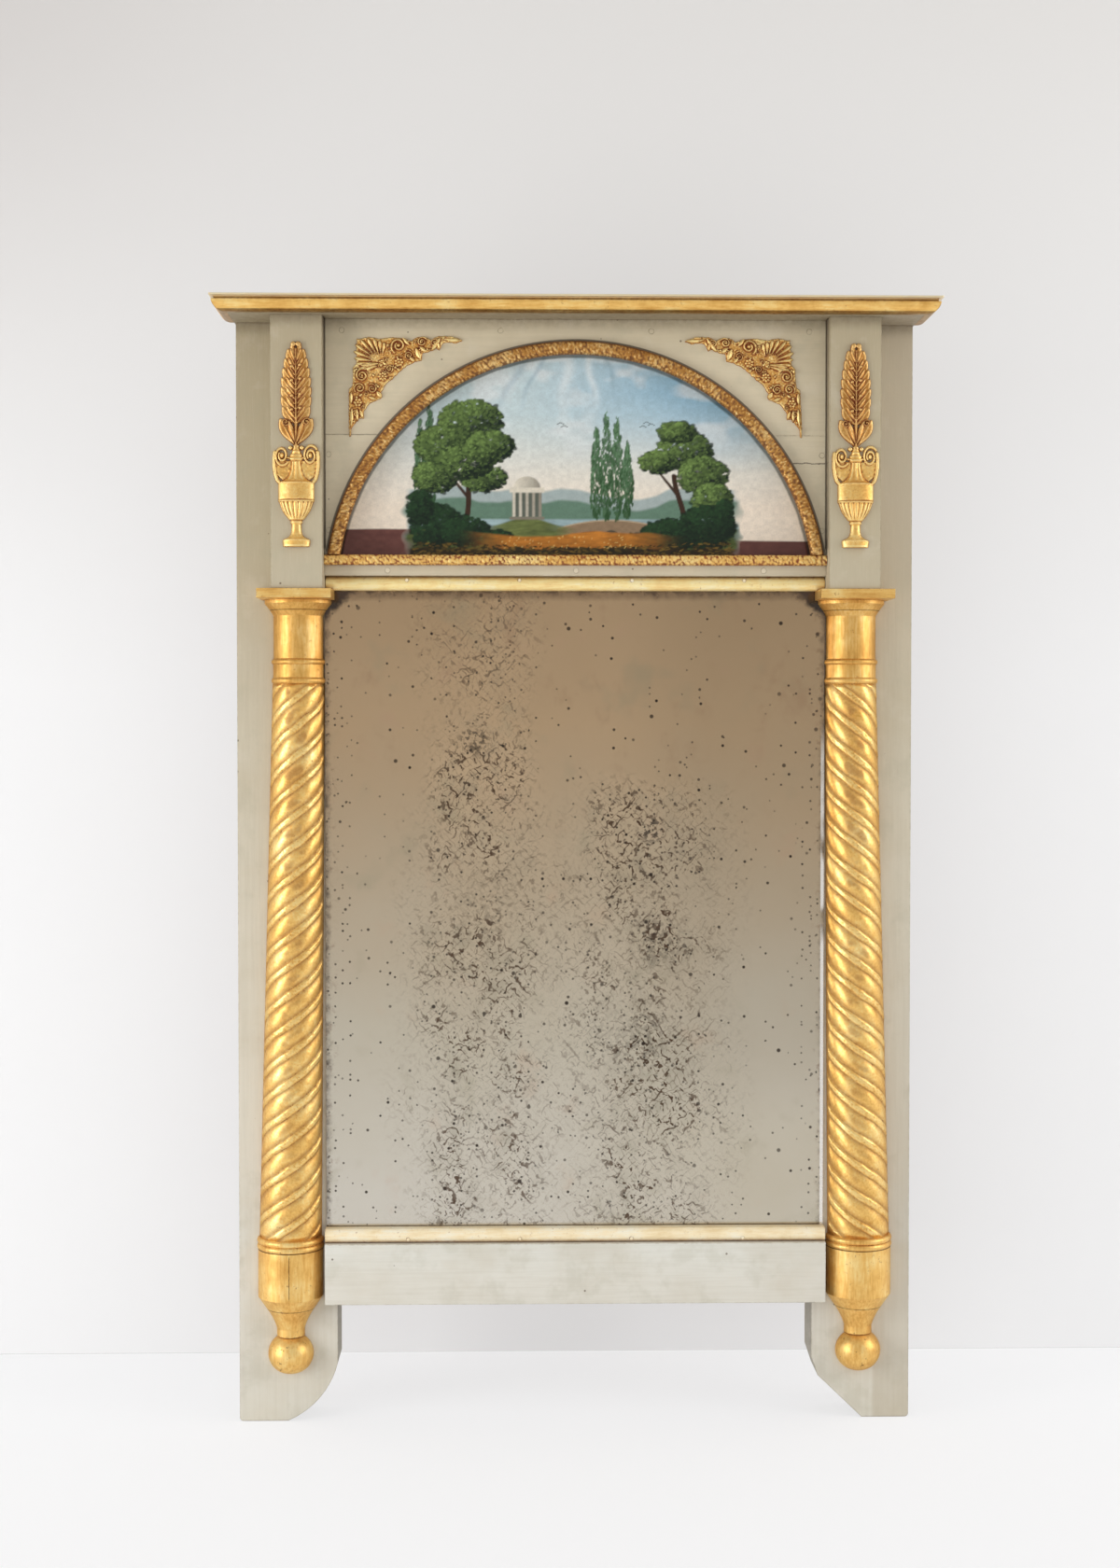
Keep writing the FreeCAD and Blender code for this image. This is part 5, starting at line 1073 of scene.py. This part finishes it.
def paint_foreground(panel, rng, scene, strokes):
    """Ochre path, dark ground with grasses, birds, the plain brown ledge at both sides and the rebate's shadow."""
    x, z = panel.x, panel.z
    path = fade(957 + 2.5 * np.sin(x / 26) + 3 * uneven(x, 20, 62) - z, 2) * np.exp(-((x + 4) / 92) ** 6)
    panel.lay(path, paint(186, 118, 44) * (0.55 + 0.85 * strokes))
    panel.lay(fade(941 + 4 * uneven(x, 12, 61) - z, 2.5) * scene, paint(52, 38, 20) * (0.6 + 0.9 * strokes))
    for _ in range(700):
        place = rng.uniform(-172, 168)
        panel.dab(place, rng.uniform(932, 943 + 6 * abs(place) / 170), rng.uniform(1.4, 4.0), rng.uniform(0.6, 1.2),
                  rng.uniform(-0.5, 0.5), shade(tone(24, 28, 14), tone(132, 104, 44), rng.uniform(0, 1) ** 2), 0.8)
    for _ in range(60):
        panel.dab(rng.uniform(-80, 70), rng.uniform(942, 956), 0.8, 0.8, 0, tone(226, 190, 112), 0.7)
    for place in (-18, -14, 70, 74, 79):
        for wing, slant in ((0, 0.5), (3.6, -0.5)):
            panel.dab(place + wing, 1072 + (place % 7), 2.6, 0.5, slant, tone(60, 66, 70), 0.8)
    brink = np.where(x < 0, 963.0, 951.0) - 0.8 * uneven(x, 30, 71)
    grained = (0.85 + 0.3 * cloudy(x * 2, z * 4, 16, 72))[..., None]
    panel.lay(fade(brink - z, 0.8) * (1 - scene), paint(104, 64, 58) * grained)
    rebate = np.hypot(x, z - ARCH_CENTRE_Z) + 0.8 * cloudy(x, z, 14, 91)
    panel.lay(fade(rebate - 251.4, 1.4) * 0.7, tone(44, 46, 42))


def paint_picture(panel):
    """A made-up lake shore with a round temple, trees and a low bridge; nobody is in it."""
    rng = np.random.default_rng(71)
    x, z = panel.x, panel.z
    scene = 1 - fade(np.abs(x + 4 + 9 * (cloudy(x, z, 9, 8) - 0.5)) - 172, 9)
    strokes = (cloudy(x, z * 5, 14, 33) * 0.6 + cloudy(x, z * 5, 5, 34) * 0.4)[..., None]
    paint_sky(panel)
    paint_shore(panel, scene, strokes)
    paint_temple(panel, strokes)
    paint_trees(panel, rng)
    paint_foreground(panel, rng, scene, strokes)
    panel.coat *= (0.93 + 0.14 * cloudy(x * 1.3, z * 1.6, 5, 81))[..., None]


def picture_pane():
    """Pane of the lunette glass, painted from behind."""
    (x0, y0, z0), (x1, y1, z1) = (1000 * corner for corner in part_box("lunette_glass"))
    face, back = BACK_Y - y0, BACK_Y - y1
    panel = Panel(x0 + 0.3, x1 - 0.3, z0 + 0.3, z1 - 0.3)
    paint_picture(panel)
    x, z = panel.x, panel.z
    inside = np.hypot(x, z - ARCH_CENTRE_Z) < (z1 - ARCH_CENTRE_Z)
    kept = inside[:-1, :-1] & inside[1:, :-1] & inside[:-1, 1:] & inside[1:, 1:]
    number = np.arange(x.size).reshape(x.shape)
    quads = np.stack([number[:-1, :-1][kept], number[:-1, 1:][kept], number[1:, 1:][kept], number[1:, :-1][kept]], 1)
    used, quads = np.unique(quads, return_inverse=True)
    quads = quads.reshape(-1, 4)
    pairs = np.concatenate([quads[:, [0, 1]], quads[:, [1, 2]], quads[:, [2, 3]], quads[:, [3, 0]]])
    keys = np.sort(pairs, 1) @ np.array([len(used), 1])
    _, first, count = np.unique(keys, return_index=True, return_counts=True)
    rim = pairs[first[count == 1]]
    follow = {int(p): int(q) for p, q in rim}
    chain = [int(rim[0, 0])]
    while follow[chain[-1]] != chain[0]:
        chain.append(follow[chain[-1]])
    total = len(used)
    behind = {p: total + i for i, p in enumerate(chain)}
    front = np.stack([x.ravel()[used], np.full(total, face), z.ravel()[used]], 1)
    rear = front[chain].copy()
    rear[:, 1] = back
    walls = [(q, p, behind[p], behind[q]) for p, q in zip(chain, chain[1:] + chain[:1])]
    faces = quads.tolist() + walls + [[behind[p] for p in reversed(chain)]]
    coat = panel.coat.reshape(-1, 3)[used]
    coat = np.concatenate([coat, coat[chain]])
    coat = np.column_stack([fade(coat), np.ones(len(coat))])
    return piece_from("lunette_painted_pane", np.concatenate([front, rear]), faces, PICTURE, "picture", coat)


put_in(picture_pane(), "picture_glass", "lunette_glass")


# ---------------------------------------------------------------- studio
def plain_white(name, low, high, lift):
    """Matt white, a little greyer towards the top and at the upper left as painted shade, lifted where it is looked
    at or mirrored; shadows stay on it.

    From behind it is clear, so that the mirror's back can be looked at through it.
    """
    f = Finish(name)
    # painted shade: greyer towards the top, and on the wall's upper left
    f.colour = f.chart(f.z / 2000, [(0.0, low), (0.4, low), (0.8, high)])
    f.lay(f.z.ease(900, 1700) * f.x.ease(-100, -900) * 0.55, tone(196, 190, 187))
    matt = f.out("ShaderNodeBsdfDiffuse", None, {"Color": f.colour})
    glow = f.out("ShaderNodeEmission", None, {"Color": f.colour, "Strength": 1.0})
    looked_at, mirrored, seen_through = (f.out("ShaderNodeLightPath", output=number) for number in (0, 3, 6))
    lifted = looked_at.top(mirrored).top(seen_through) * lift
    white = f.out("ShaderNodeMixShader", None, {0: lifted, 1: matt, 2: glow})
    rear = f.out("ShaderNodeNewGeometry", output=6) * looked_at
    clear = f.out("ShaderNodeBsdfTransparent")
    f.node("ShaderNodeOutputMaterial", None, {0: f.out("ShaderNodeMixShader", None, {0: rear, 1: white, 2: clear})})
    return f.material


def board(name, corners, finish):
    mesh = bpy.data.meshes.new(name)
    mesh.from_pydata(corners, [], [(0, 1, 2, 3)])
    mesh.materials.append(finish)
    thing = bpy.data.objects.new(name, mesh)
    bpy.context.scene.collection.objects.link(thing)


def soft_lamp(name, place, aim, wide, high, power):
    lamp = bpy.data.lights.new(name, "AREA")
    lamp.shape = "RECTANGLE"
    lamp.size, lamp.size_y, lamp.energy = wide, high, power
    thing = bpy.data.objects.new(name, lamp)
    thing.location = place
    thing.rotation_euler = (Vector(aim) - Vector(place)).to_track_quat("-Z", "Y").to_euler()
    bpy.context.scene.collection.objects.link(thing)


WALL_Y = 0.27
board("studio_floor", [(-8, -14, -0.0005), (8, -14, -0.0005), (8, WALL_Y, -0.0005), (-8, WALL_Y, -0.0005)],
      plain_white("floor_white", tone(251, 251, 252), tone(251, 251, 252), 0.7))
board("studio_wall", [(-8, WALL_Y, 0), (8, WALL_Y, 0), (8, WALL_Y, 4), (-8, WALL_Y, 4)],
      plain_white("wall_white", tone(248, 248, 249), tone(230, 228, 226), 0.45))

soft_lamp("left_window", (-2.3, -1.25, 0.6), (0, 0, 0.45), 1.0, 1.5, 27)
soft_lamp("right_window", (2.35, -0.85, 1.25), (0, 0, 0.9), 1.1, 1.4, 19)

world = bpy.data.worlds.new("studio_air")
bpy.context.scene.world = world
world.use_nodes = True
world.node_tree.nodes["Background"].inputs["Color"].default_value = (0.80, 0.79, 0.77, 1)
world.node_tree.nodes["Background"].inputs["Strength"].default_value = 0.8

camera = bpy.data.cameras.new("camera")
camera.sensor_fit = "VERTICAL"
camera.sensor_height = 36.0
camera.lens = 50.0
viewer = bpy.data.objects.new("camera", camera)
YAW, PITCH = 0.0217, 0.0269
look = Vector((math.sin(YAW) * math.cos(PITCH), math.cos(YAW) * math.cos(PITCH), -math.sin(PITCH)))
viewer.location = (-0.06735, -2.33457, 0.75296)
viewer.rotation_euler = look.to_track_quat("-Z", "Y").to_euler()
bpy.context.scene.collection.objects.link(viewer)
bpy.context.scene.camera = viewer
bpy.context.scene.view_settings.view_transform = "Standard"
